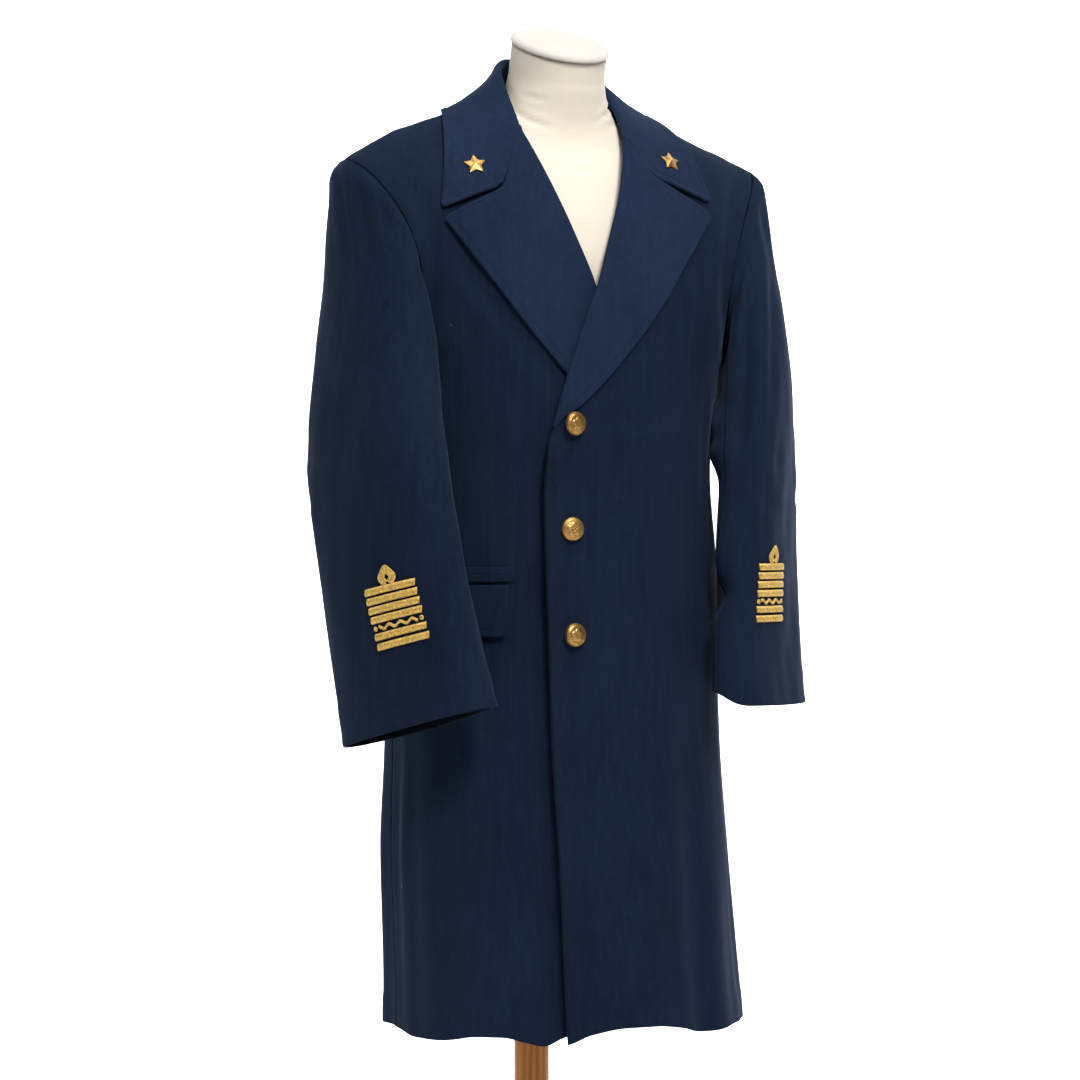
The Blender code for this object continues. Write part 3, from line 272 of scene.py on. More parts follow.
def coat(level, u, side, back=False):
    """Middle surface of the coat body, own-side x.  level is the height below the
    underarm and runs on to SHOULDER_Z at the shoulder seam; u is 0 at the centre
    and 1 at the side seam or armhole, and below 0 it mirrors past the centre."""
    level, u = np.broadcast_arrays(np.asarray(level, float), np.asarray(u, float))
    low = level <= UNDERARM_Z
    t = np.clip((level - UNDERARM_Z) / (SHOULDER_Z - UNDERARM_Z), 0, 1)
    z0 = np.minimum(level, UNDERARM_Z)
    b = rows(BODY, z0)
    half = b[..., 0] if side == "left" else b[..., 1]
    c = rows(UPPER_BACK if back else UPPER_FRONT, t)
    al = math.pi * (1 - t) * (-1 if back else 1)
    a = armhole(al)
    p0 = np.stack([np.where(low, 0, c[..., 0]), np.where(low, b[..., 4] if back else b[..., 2], c[..., 1]),
                   np.where(low, z0, c[..., 2])], -1)
    p3 = np.stack([np.where(low, half, a[..., 0]), np.where(low, b[..., 3], a[..., 1]),
                   np.where(low, z0, a[..., 2])], -1)
    qx = np.where(low, 1.0, c[..., 3])
    qf = np.where(low, 0.0, c[..., 4])
    q = np.stack([p0[..., 0] + qx * (p3[..., 0] - p0[..., 0]), p0[..., 1] + qf * (p3[..., 1] - p0[..., 1]),
                  p0[..., 2]], -1)
    k = (0.62 - 0.02 * t)[..., None]
    w = np.abs(u)[..., None]
    p1, p2 = p0 + k * (q - p0), p3 + k * (q - p3)
    p = (1 - w) ** 3 * p0 + 3 * (1 - w) ** 2 * w * p1 + 3 * (1 - w) * w * w * p2 + w ** 3 * p3
    p[..., 2] = p0[..., 2] * (1 - w[..., 0]) + p3[..., 2] * w[..., 0]
    p[..., 0] = np.where(u < 0, 2 * p0[..., 0] - p[..., 0], p[..., 0])
    if side == "right":
        ww = np.clip(w[..., 0], 0, 1)
        p[..., 2] += SHOULDER_FULL_R * t * t * 6.75 * ww * ww * (1 - ww) - SHOULDER_DROP_R * t * ww
    return p


def coat_normal(level, u, side, back=False):
    """Outward direction of the coat body, own-side x."""
    e, g = 1e-3, 2e-3
    level = np.asarray(level, float)
    lo, hi = np.maximum(level - e, HEM_Z), np.minimum(level + e, SHOULDER_Z)
    dv = coat(hi, u, side, back) - coat(lo, u, side, back)
    uc = np.clip(u, -1 + g, 1 - g)
    du = coat(level, uc + g, side, back) - coat(level, uc - g, side, back)
    n = unit(np.cross(dv, du))
    want = np.array([0, -1.0, 0]) if back else np.array([0, 1.0, 0])
    return np.where((n @ want + 0.25 * n[..., 2])[..., None] < 0, -n, n)


def overlap_lift(x, z, side):
    """The left front lies over the right front and over the right lapel."""
    if side == "right":
        return np.zeros(np.shape(x))
    base = 0.0064 + 0.0045 * ease(1.02, 1.07, z) - 0.0079 * ease(1.24, 1.32, z)
    return base * (1 - ease(0.044, 0.115, x))


def front(level, u, side, out=0.0):
    """Point of a front panel, moved out from its middle surface."""
    p = coat(level, u, side)
    return p + coat_normal(level, u, side) * (overlap_lift(p[..., 0], p[..., 2], side) + out)[..., None]


def front_uv(x, z, side):
    """Level and u of the front panel at own-side x and height z."""
    x, z = np.broadcast_arrays(np.asarray(x, float), np.asarray(z, float))
    lv, u = np.clip(z, HEM_Z, SHOULDER_Z - 0.01).copy(), np.clip(x / 0.22, -0.5, 0.95).copy()
    for _ in range(30):
        p = coat(lv, u, side)
        rx, rz = x - p[..., 0], z - p[..., 2]
        e = 1e-4
        a = (coat(lv + e, u, side) - p) / e
        b = (coat(lv, u + e, side) - p) / e
        det = a[..., 0] * b[..., 2] - a[..., 2] * b[..., 0]
        det = np.where(np.abs(det) < 1e-9, 1e-9, det)
        dl = (rx * b[..., 2] - rz * b[..., 0]) / det
        du = (a[..., 0] * rz - a[..., 2] * rx) / det
        lv = np.clip(lv + np.clip(dl, -0.05, 0.05), HEM_Z, SHOULDER_Z - 2e-4)
        u = np.clip(u + np.clip(du, -0.2, 0.2), -0.9, 0.9995)
    return lv, u


def on_front(x, z, side, out):
    lv, u = front_uv(x, z, side)
    return front(lv, u, side, out)


def edge_u(level, side):
    """u of the front edge; below 0 it lies past the centre."""
    level = np.atleast_1d(np.asarray(level, float))
    out = np.zeros_like(level)
    us = np.linspace(0, 0.75, 90)
    for i, lv in enumerate(level):
        row = coat(np.full(us.shape, lv), us, side)
        dx = row[:, 0] - row[0, 0]
        want = float(edge_x(row[0, 2], side)) - row[0, 0]
        out[i] = np.sign(want) * np.interp(abs(want), dx, us)
    return out


def edge_x(z, side):
    """Own-side x of the front edge, and above the crossing of the fold."""
    return rows(FRONT_EDGE[side], z)[..., 0]


def sleeve(step, al, side, out=0.0):
    """Point of a sleeve: al 0 outside, +90 deg at its front, 180 inside."""
    step, al = np.broadcast_arrays(np.asarray(step, float), np.asarray(al, float))
    s = rows(SLEEVE[side], step)
    lean, turn, tilt = (np.radians(s[..., i]) for i in (3, 4, 5))
    e1 = np.stack([np.sin(lean) * np.cos(turn), np.sin(lean) * np.sin(turn), np.cos(lean)], -1)
    w = np.stack([-np.sin(turn), np.cos(turn), np.tan(tilt)], -1)
    e2 = unit(w - (w * e1).sum(-1, keepdims=True) * e1)
    c, sn = np.cos(al), np.sin(al)
    n = 2.0 + 0.45 * ease(0.0, 0.5, step)
    r = 1.0 / (np.abs(c) ** n + np.abs(sn) ** n) ** (1.0 / n)
    p = s[..., 0:3] + ((s[..., 6] + out) * r * c)[..., None] * e1 + ((s[..., 7] + out) * r * sn)[..., None] * e2
    fade = 1 - ease(0.10, 0.52, step)
    p[..., 0] -= np.where(sn > 0, ARM_SCOOP_F, ARM_SCOOP_B) * sn * sn * fade
    # beside the body at the underarm the sleeve stands off by its own thickness
    p[..., 0] += (0.0014 + 0.0028 * ease(-0.2, 1.0, -c)) * (1 - ease(0.0, 0.10, step))
    if side == "right":
        p[..., 2] -= SHOULDER_DROP_R * (0.5 + 0.5 * c) * (1 - ease(0.0, 0.35, step))
    return p


def world(p, side):
    """Own-side (x, f, z) to world (x, y, z)."""
    p = np.array(p, float)
    p[..., 0] *= 1.0 if side == "left" else -1.0
    p[..., 1] *= -1.0
    return p


def grid_normals(p):
    du = np.gradient(p, axis=1)
    dv = np.gradient(p, axis=0)
    return unit(np.cross(du, dv))

# how far the hem lifts, by the share around from the centre front (0) to the centre back (2)
HEM_RISE = {
    "left": ((-0.40, 0.0), (-0.20, 0.0005), (-0.10, 0.0105), (0.0, 0.0150), (0.10, 0.0146), (0.20, 0.0105), (0.30, 0.0036),
             (0.40, 0.0016), (0.50, 0.0032), (0.60, 0.0040), (0.72, 0.0022), (0.90, 0.0020), (1.0, 0.0030), (1.3, 0.0060),
             (1.6, 0.0035), (2.0, 0.0050)),
    "right": ((-0.40, 0.0250), (0.0, 0.0235), (0.06, 0.0215), (0.13, 0.0150), (0.20, 0.0080), (0.265, -0.0004), (0.34, 0.0042),
              (0.42, 0.0092), (0.50, 0.0094), (0.56, 0.0085), (0.63, 0.0052), (0.72, 0.0026), (0.85, 0.0024), (0.93, 0.0050),
              (1.0, 0.0082), (1.08, 0.0100), (1.3, 0.0070), (1.6, 0.0035), (2.0, 0.0050)),
}


def hem_rise(share, level, side):
    """The hem dips at the front edges and lifts a little between folds."""
    return rows(HEM_RISE[side], share)[..., 0] * (1 - ease(HEM_Z, HEM_Z + 0.11, level))


# ------------------------------------------------------------------ making meshes
SCENE = bpy.context.scene


def mesh_piece(name, verts, quads, mat, smooth=True):
    verts = np.asarray(verts, float).reshape(-1, 3)
    quads = np.asarray(quads, np.int32).reshape(-1, 4)
    me = bpy.data.meshes.new(name)
    me.vertices.add(len(verts))
    me.vertices.foreach_set("co", verts.ravel())
    me.loops.add(quads.size)
    me.loops.foreach_set("vertex_index", quads.ravel())
    me.polygons.add(len(quads))
    me.polygons.foreach_set("loop_start", np.arange(0, quads.size, 4, dtype=np.int32))
    me.update(calc_edges=True)
    me.polygons.foreach_set("use_smooth", np.full(len(quads), smooth))
    me.materials.append(mat)
    me.validate()
    ob = bpy.data.objects.new(name, me)
    SCENE.collection.objects.link(ob)
    return ob


def poly_piece(name, verts, faces, mat, smooth=True):
    me = bpy.data.meshes.new(name)
    me.from_pydata([tuple(map(float, v)) for v in verts], [], [tuple(map(int, f)) for f in faces])
    me.update()
    me.polygons.foreach_set("use_smooth", np.full(len(me.polygons), smooth))
    me.materials.append(mat)
    ob = bpy.data.objects.new(name, me)
    SCENE.collection.objects.link(ob)
    return ob


def face_out(mid, toward):
    """Normals of a grid, turned to the side that toward points to."""
    n = grid_normals(mid)
    return n if float((n * toward).sum()) > 0 else -n


def shell(name, mid, half, toward, mat, extra=0.0, shade_inside=False):
    """A closed wall of cloth about a grid of points.  The half thickness runs out to
    nothing at the rim, where the two faces share their points."""
    n = grid_normals(mid)
    turn = float((n * toward).sum()) < 0
    if turn:
        n = -n
    outer = mid + n * (half + extra)[..., None]
    inner = mid - n * half[..., None]
    nr, nc = half.shape
    rim = np.zeros((nr, nc), bool)
    rim[0], rim[-1], rim[:, 0], rim[:, -1] = True, True, True, True
    outer[rim] = mid[rim]
    io = np.arange(nr * nc).reshape(nr, nc)
    ii = io.copy()
    keep = ~rim
    ii[keep] = nr * nc + np.arange(keep.sum())
    verts = np.concatenate([outer.reshape(-1, 3), inner[keep]])

    def quads(ix):
        return np.stack([ix[:-1, :-1], ix[:-1, 1:], ix[1:, 1:], ix[1:, :-1]], -1).reshape(-1, 4)

    q = np.concatenate([quads(io), quads(ii)[:, ::-1]])
    if turn:
        q = q[:, ::-1]
    ob = mesh_piece(name, verts, q, mat)
    # tags the inner faces for the near-black painted shade of the wool
    if shade_inside:
        tag = ob.data.attributes.new("painted_inner_shade", "FLOAT", "POINT")
        tag.data.foreach_set("value", np.concatenate([np.zeros(nr * nc), np.ones(int(keep.sum()))]).astype(np.float32))
    return ob


def lip_marks(r, *more):
    """Distances from an edge: close together over the round of the lip, then at more."""
    return [r * (1 - math.cos(a)) for a in np.linspace(0, math.pi / 2, 5)] + [r + 0.0011] + list(more)


def stitch_marks(at):
    return [at - 0.0017, at - 0.0009, at, at + 0.0009, at + 0.0017]


def marks(lo, hi, n):
    """Places across a strip as a distance plus a share of the strip's length."""
    m = np.linspace(0, 1, n + 2)[1:-1]
    a = np.array(list(lo) + [lo[-1] - (lo[-1] + hi[-1]) * t for t in m] + [-x for x in hi[::-1]])
    f = np.array([0.0] * len(lo) + list(m) + [1.0] * len(hi))
    return a, f


def places(ab, length):
    """Distances along strips of the given lengths; short strips squeeze their margins."""
    a, f = ab
    length = np.asarray(length, float)[..., None]
    need = a[f == 0].max() - a[f == 1].min()
    k = np.minimum(1.0, length * 0.85 / need)
    return a * k + f * length, k


def wall_half(dists, lips, thin, wide=0.030):
    """Half thickness from the distances to the four edges: a lip thicker than the
    cloth stands for an edge that is turned in and pressed."""
    body = np.full(np.shape(dists[0]), thin)
    shape = np.ones(np.shape(dists[0]))
    for d, r in zip(dists, lips):
        body = np.maximum(body, thin + np.clip(r - thin, 0.0, 0.0008) * (1 - ease(0.82 * wide, wide, d)))
        x = np.clip(d / r, 0, 1)
        shape = shape * np.sqrt(np.clip(1 - (1 - x) ** 2, 0, 1))
    return body * shape


def seam_level(d, deep):
    """Keeps the outer face level up to a plain seam, with a faint dip along it."""
    x = np.clip(d / SEAM_R, 0, 1)
    return 0.78 * CLOTH_T / 2 * (1 - np.sqrt(1 - (1 - x) ** 2)) - deep * (1 - ease(0.0, 0.0042, d))


def stitch_dip(d, at, deep=0.00045, wide=0.0008):
    """A row of stitching presses the cloth in along a line."""
    return -deep * np.exp(-((d - at) / wide) ** 2)


def round_corner(a, b, r):
    """Moves places near a corner so that the two edges meet in a round of radius r."""
    near = (a < r) & (b < r)
    u, v = np.clip((r - a) / r, 0, 1), np.clip((r - b) / r, 0, 1)
    a2, b2 = r * (1 - u * np.sqrt(1 - v * v / 2)), r * (1 - v * np.sqrt(1 - u * u / 2))
    return np.where(near, a2, a), np.where(near, b2, b)


def run_length(p):
    """Running length along the second axis of rows of points."""
    d = np.linalg.norm(np.diff(p, axis=1), axis=-1)
    return np.concatenate([np.zeros((len(p), 1)), np.cumsum(d, axis=1)], axis=1)


def pick(run, val, want):
    """For every row, the value at the wanted running lengths."""
    return np.stack([np.interp(w, r, v) for r, v, w in zip(run, val, want)])


# ------------------------------------------------------------------ creases
def near_line(p, nrm, line):
    """Distance to a line of points, the share along it and the side of it."""
    seg = np.linalg.norm(np.diff(line, axis=0), axis=1)
    run = np.concatenate([[0], np.cumsum(seg)])
    best = np.full(p.shape[:-1], 1e9)
    share = np.zeros(p.shape[:-1])
    side = np.zeros(p.shape[:-1])
    for k in range(len(line) - 1):
        ab = line[k + 1] - line[k]
        s = np.clip(((p - line[k]) @ ab) / (ab @ ab), 0, 1)
        q = p - line[k] - s[..., None] * ab
        d = np.linalg.norm(q, axis=-1)
        m = d < best
        best = np.where(m, d, best)
        share = np.where(m, (run[k] + s * seg[k]) / run[-1], share)
        side = np.where(m, np.sign((np.cross(ab, q) * nrm).sum(-1)), side)
    return best, share, side


def crease(p, nrm, line, strength, wide, deep, skew=0.0, rim=0.30):
    """A soft trough (deep > 0) or ridge (deep < 0) along a line, with low shoulders."""
    reach = 4.5 * wide
    lo, hi = line.min(0) - reach, line.max(0) + reach
    m = ((p > lo) & (p < hi)).all(-1)
    out = np.zeros(p.shape[:-1])
    if not m.any():
        return out
    d, t, sg = near_line(p[m], nrm[m], line)
    k = np.interp(t, np.linspace(0, 1, len(strength)), strength)
    x = d / (wide * (1 + skew * sg))
    out[m] = -deep * k * (np.exp(-x * x) - rim * np.exp(-((x - 1.8) / 0.75) ** 2))
    return out


def smooth_line(pts, n=16):
    pts = np.asarray(pts, float)
    return curve_through(np.linspace(0, 1, len(pts)), pts, np.linspace(0, 1, n))


def press(p, toward, lines):
    """Moves a grid of points in and out by a table of creases."""
    n = face_out(p, toward)
    h = np.zeros(p.shape[:-1])
    for line, strength, wide, deep, skew in lines:
        h = h + crease(p, n, line, strength, wide, deep, skew)
    return p + n * h[..., None]


def ripple(*waves):
    """Sum of long low waves: each is (height, across, up, phase) with lengths in metres."""
    def f(a, b):
        h = 0.0
        for high, la, lb, ph in waves:
            h = h + high * np.sin(2 * math.pi * (a / la + b / lb) + ph)
        return h
    return f


# ------------------------------------------------------------------ materials
class Nodes:
    """Small helper for building a node material."""

    def __init__(self, name):
        self.m = bpy.data.materials.new(name)
        self.m.use_nodes = True
        self.t = self.m.node_tree
        self.b = self.t.nodes["Principled BSDF"]
        self.co = self.t.nodes.new("ShaderNodeTexCoord").outputs["Object"]

    def link(self, a, b):
        self.t.links.new(a, b)

    def scaled(self, scale, turn=(0, 0, 0)):
        n = self.t.nodes.new("ShaderNodeMapping")
        n.inputs["Scale"].default_value = scale
        n.inputs["Rotation"].default_value = turn
        self.link(self.co, n.inputs["Vector"])
        return n.outputs["Vector"]

    def noise(self, scale, detail=3.0, rough=0.55, vec=None, warp=0.0):
        n = self.t.nodes.new("ShaderNodeTexNoise")
        n.inputs["Scale"].default_value = scale
        n.inputs["Detail"].default_value = detail
        n.inputs["Roughness"].default_value = rough
        n.inputs["Distortion"].default_value = warp
        self.link(vec if vec is not None else self.co, n.inputs["Vector"])
        return n.outputs["Fac"]

    def wave(self, scale, vec=None, direction="X", warp=0.0, detail=2.0, dscale=1.0, kind="BANDS"):
        n = self.t.nodes.new("ShaderNodeTexWave")
        n.wave_type = kind
        if kind == "BANDS":
            n.bands_direction = direction
        else:
            n.rings_direction = direction
        n.inputs["Scale"].default_value = scale
        n.inputs["Distortion"].default_value = warp
        n.inputs["Detail"].default_value = detail
        n.inputs["Detail Scale"].default_value = dscale
        self.link(vec if vec is not None else self.co, n.inputs["Vector"])
        return n.outputs["Fac"]

    def ramp(self, fac, *stops):
        n = self.t.nodes.new("ShaderNodeValToRGB")
        e = n.color_ramp.elements
        while len(e) < len(stops):
            e.new(0.5)
        for k, (pos, col) in zip(e, stops):
            k.position = pos
            k.color = (*col, 1.0) if hasattr(col, "__len__") else (col, col, col, 1.0)
        self.link(fac, n.inputs["Fac"])
        return n.outputs["Color"]

    def mix(self, fac, a, b, kind="MIX"):
        n = self.t.nodes.new("ShaderNodeMix")
        n.data_type = "RGBA"
        n.blend_type = kind
        ins = {s.identifier: s for s in n.inputs}
        for key, v in (("Factor_Float", fac), ("A_Color", a), ("B_Color", b)):
            s = ins[key]
            if isinstance(v, bpy.types.NodeSocket):
                self.link(v, s)
            elif hasattr(v, "__len__"):
                s.default_value = (*v, 1.0)
            else:
                s.default_value = v
        outs = {s.identifier: s for s in n.outputs}
        return outs["Result_Color"]

    def math(self, op, a, b=0.0, c=0.0):
        n = self.t.nodes.new("ShaderNodeMath")
        n.operation = op
        for i, v in enumerate((a, b, c)):
            if isinstance(v, bpy.types.NodeSocket):
                self.link(v, n.inputs[i])
            else:
                n.inputs[i].default_value = v
        return n.outputs[0]

    def bump(self, height, strength, distance, under=None):
        n = self.t.nodes.new("ShaderNodeBump")
        n.inputs["Strength"].default_value = strength
        n.inputs["Distance"].default_value = distance
        self.link(height, n.inputs["Height"])
        if under is not None:
            self.link(under, n.inputs["Normal"])
        return n.outputs["Normal"]

    def set(self, **kw):
        for key, v in kw.items():
            s = self.b.inputs[key.replace("_", " ")]
            if isinstance(v, bpy.types.NodeSocket):
                self.link(v, s)
            elif hasattr(v, "__len__") and len(v) == 3 and s.type == "RGBA":
                s.default_value = (*v, 1.0)
            else:
                s.default_value = v
        return self.m


def wool(name, dark, light, seed):
    """Milled navy coating: a short brushed nap, faint streaks down the cloth, fine mottling."""
    k = Nodes(name)
    cloud = k.noise(9.0, 4.0, 0.6, k.scaled((1.0, 1.0, 0.55), (seed, 0.4 * seed, 0)))
    streak = k.noise(1.0, 3.0, 0.6, k.scaled((190.0, 190.0, 11.0)))
    fine = k.noise(520.0, 3.0, 0.7)
    fibre = k.noise(1.0, 2.0, 0.6, k.scaled((1500.0, 1500.0, 620.0), (0.2, 0.3, 0.0)))
    f = k.math("ADD", k.math("MULTIPLY", cloud, 0.40), k.math("MULTIPLY", streak, 0.30))
    f = k.math("ADD", f, k.math("MULTIPLY", fine, 0.30))
    base = k.ramp(f, (0.36, dark), (0.50, tuple((a + b) / 2 for a, b in zip(dark, light))), (0.66, light))
    # a few pale specks of lint
    spot = k.noise(75.0, 1.0, 0.4)
    grain = k.noise(31.0, 1.0, 0.4)
    lint = k.math("MULTIPLY", k.ramp(spot, (0.795, 0.0), (0.830, 1.0)), k.ramp(grain, (0.60, 0.0), (0.66, 1.0)))
    colour = k.mix(k.math("MULTIPLY", lint, 0.45), base, (0.10, 0.12, 0.15))
    # painted shade: the inner faces get a near-black tone for the shade inside the cuffs and hem
    inside = k.t.nodes.new("ShaderNodeAttribute")
    inside.attribute_name = "painted_inner_shade"
    colour = k.mix(inside.outputs["Fac"], colour, (0.0016, 0.0022, 0.0042))
    bump = k.bump(fine, 0.35, 0.0006)
    bump = k.bump(fibre, 0.35, 0.00025, bump)
    bump = k.bump(streak, 0.10, 0.0008, bump)
    rough = k.ramp(fine, (0.3, 0.86), (0.7, 0.97))
    return k.set(Base_Color=colour, Roughness=rough, Normal=bump, Sheen_Weight=0.06, Sheen_Roughness=0.45,
                 Sheen_Tint=(0.36, 0.50, 0.85), Specular_IOR_Level=0.05)


def gilt(name):
    """Stamped brass with a soft shine, duller and darker in its hollows."""
    k = Nodes(name)
    cloud = k.noise(260.0, 4.0, 0.6)
    fine = k.noise(1600.0, 2.0, 0.6)
    colour = k.ramp(cloud, (0.34, (0.34, 0.185, 0.050)), (0.52, (0.53, 0.315, 0.105)), (0.70, (0.66, 0.43, 0.18)))
    geo = k.t.nodes.new("ShaderNodeNewGeometry")
    worn = k.ramp(geo.outputs["Pointiness"], (0.44, 0.0), (0.52, 1.0))
    colour = k.mix(worn, (0.22, 0.115, 0.032), colour)
    rough = k.ramp(cloud, (0.3, 0.50), (0.7, 0.36))
    bump = k.bump(fine, 0.16, 0.0002)
    return k.set(Base_Color=colour, Roughness=rough, Metallic=1.0, Normal=bump)


def braid(name):
    """Gold thread laid side by side, bright on the crown of each thread."""
    k = Nodes(name)
    cloud = k.noise(420.0, 4.0, 0.65)
    fine = k.noise(1.0, 3.0, 0.7, k.scaled((1800.0, 1800.0, 500.0)))
    f = k.math("ADD", k.math("MULTIPLY", cloud, 0.55), k.math("MULTIPLY", fine, 0.45))
    colour = k.ramp(f, (0.36, (0.27, 0.145, 0.024)), (0.50, (0.61, 0.39, 0.085)), (0.62, (0.90, 0.66, 0.20)))
    rough = k.ramp(fine, (0.3, 0.62), (0.7, 0.40))
    bump = k.bump(fine, 0.45, 0.0003)
    return k.set(Base_Color=colour, Roughness=rough, Metallic=0.62, Normal=bump, Sheen_Weight=0.1)


def jersey(name, tone):
    """Cream knitted cover: fine wales running up, close courses across."""
    k = Nodes(name)
    wale = k.wave(330.0, None, "X", 1.2, 2.0, 14.0)
    wale_y = k.wave(330.0, None, "Y", 1.2, 2.0, 14.0)
    course = k.wave(430.0, None, "Z", 1.5, 2.0, 10.0)
    cloud = k.noise(7.0, 4.0, 0.6)
    fine = k.noise(900.0, 3.0, 0.6)
    knit = k.math("ADD", k.math("MULTIPLY", k.math("ADD", wale, wale_y), 0.35), k.math("MULTIPLY", course, 0.3))
    low = tuple(c * 0.90 for c in tone)
    colour = k.ramp(k.math("ADD", k.math("MULTIPLY", cloud, 0.7), k.math("MULTIPLY", fine, 0.3)), (0.32, low), (0.62, tone))
    colour = k.mix(k.math("MULTIPLY", knit, 0.10), colour, tuple(c * 0.78 for c in tone))
    bump = k.bump(knit, 0.18, 0.0004)
    bump = k.bump(fine, 0.15, 0.0002, bump)
    rough = k.ramp(fine, (0.3, 0.78), (0.7, 0.92))
    return k.set(Base_Color=colour, Roughness=rough, Normal=bump, Sheen_Weight=0.18, Sheen_Roughness=0.5)


def timber(name, lying=False):
    """Oiled beech-brown wood with long grain, pores and a satin finish.
    The grain stands upright, or runs across when the board lies flat."""
    k = Nodes(name)

    def along(cross, length):
        return k.scaled((length, cross, cross) if lying else (cross, cross, length))

    ring = k.wave(1.15, along(38.0, 3.2), "Y" if lying else "X", 5.5, 3.0, 1.4)
    grain = k.noise(1.0, 5.0, 0.65, along(260.0, 9.0))
    pore = k.noise(1.0, 2.0, 0.6, along(1500.0, 45.0))
    f = k.math("ADD", k.math("MULTIPLY", ring, 0.38), k.math("MULTIPLY", grain, 0.62))
    colour = k.ramp(f, (0.22, (0.238, 0.085, 0.0155)), (0.48, (0.338, 0.127, 0.0240)), (0.74, (0.438, 0.177, 0.0375)))
    colour = k.mix(k.ramp(pore, (0.60, 0.0), (0.70, 0.35)), colour, (0.110, 0.038, 0.010))
    rough = k.ramp(grain, (0.3, 0.36), (0.7, 0.52))
    bump = k.bump(pore, 0.12, 0.0004)
    return k.set(Base_Color=colour, Roughness=rough, Normal=bump, Specular_IOR_Level=0.22)


WOOL = wool("coating_wool", (0.0036, 0.0077, 0.0197), (0.0078, 0.0148, 0.0330), 0.0)
# collar and lapels: the same coating painted lighter, as painted light for the top light these upward-facing pieces
# catch
WOOL_PAINTED_LIT = wool("coating_wool_painted_lit", (0.0060, 0.0122, 0.0300), (0.0122, 0.0220, 0.0495), 1.7)
GILT = gilt("gilt_brass")
BRAID = braid("gold_thread")
JERSEY = jersey("cream_jersey", (0.650, 0.590, 0.505))
# neck cap: the cream jersey painted darker, as painted shade that holds its upward-facing top down under the top light
CAP_JERSEY_SHADED = jersey("cream_jersey_cap_painted_shade", (0.530, 0.500, 0.465))
TIMBER = timber("brown_wood")
BOARD = timber("brown_wood_board", True)


def finish_piece(ob, nodes):
    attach(ob, "root")
    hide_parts(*nodes)
    return ob


# ------------------------------------------------------------------ body panels
LIP = 0.0019            # half thickness of an edge that is turned in
SEAM_R = 0.0006         # round of the cloth where it turns into a plain seam
LAPEL_START = 0.0024    # the front stops this far inside the fold of its lapel


def around(level, s, side, out):
    """Point of the coat at a height, s from the centre front (0) over the side seam (1)."""
    p = front(level, np.minimum(s, 0.999), side, out)
    b = coat(level, np.clip(2 - s, 0, 0.999), side, True)
    b = b + coat_normal(level, np.clip(2 - s, 0, 0.999), side, True) * out[..., None]
    return np.where((s > 1)[..., None], b, p)


def line_front(side, pts):
    """Crease given as own-side x, height and strength on a front."""
    q = smooth_line([(a, b) for a, b, _ in pts])
    return on_front(q[:, 0], q[:, 1], side, np.zeros(len(q))), [k for _, _, k in pts]


def line_around(side, pts):
    """Crease given as share around the coat, height and strength."""
    q = smooth_line([(a, b) for a, b, _ in pts])
    return around(q[:, 1], q[:, 0], side, np.zeros(len(q))), [k for _, _, k in pts]


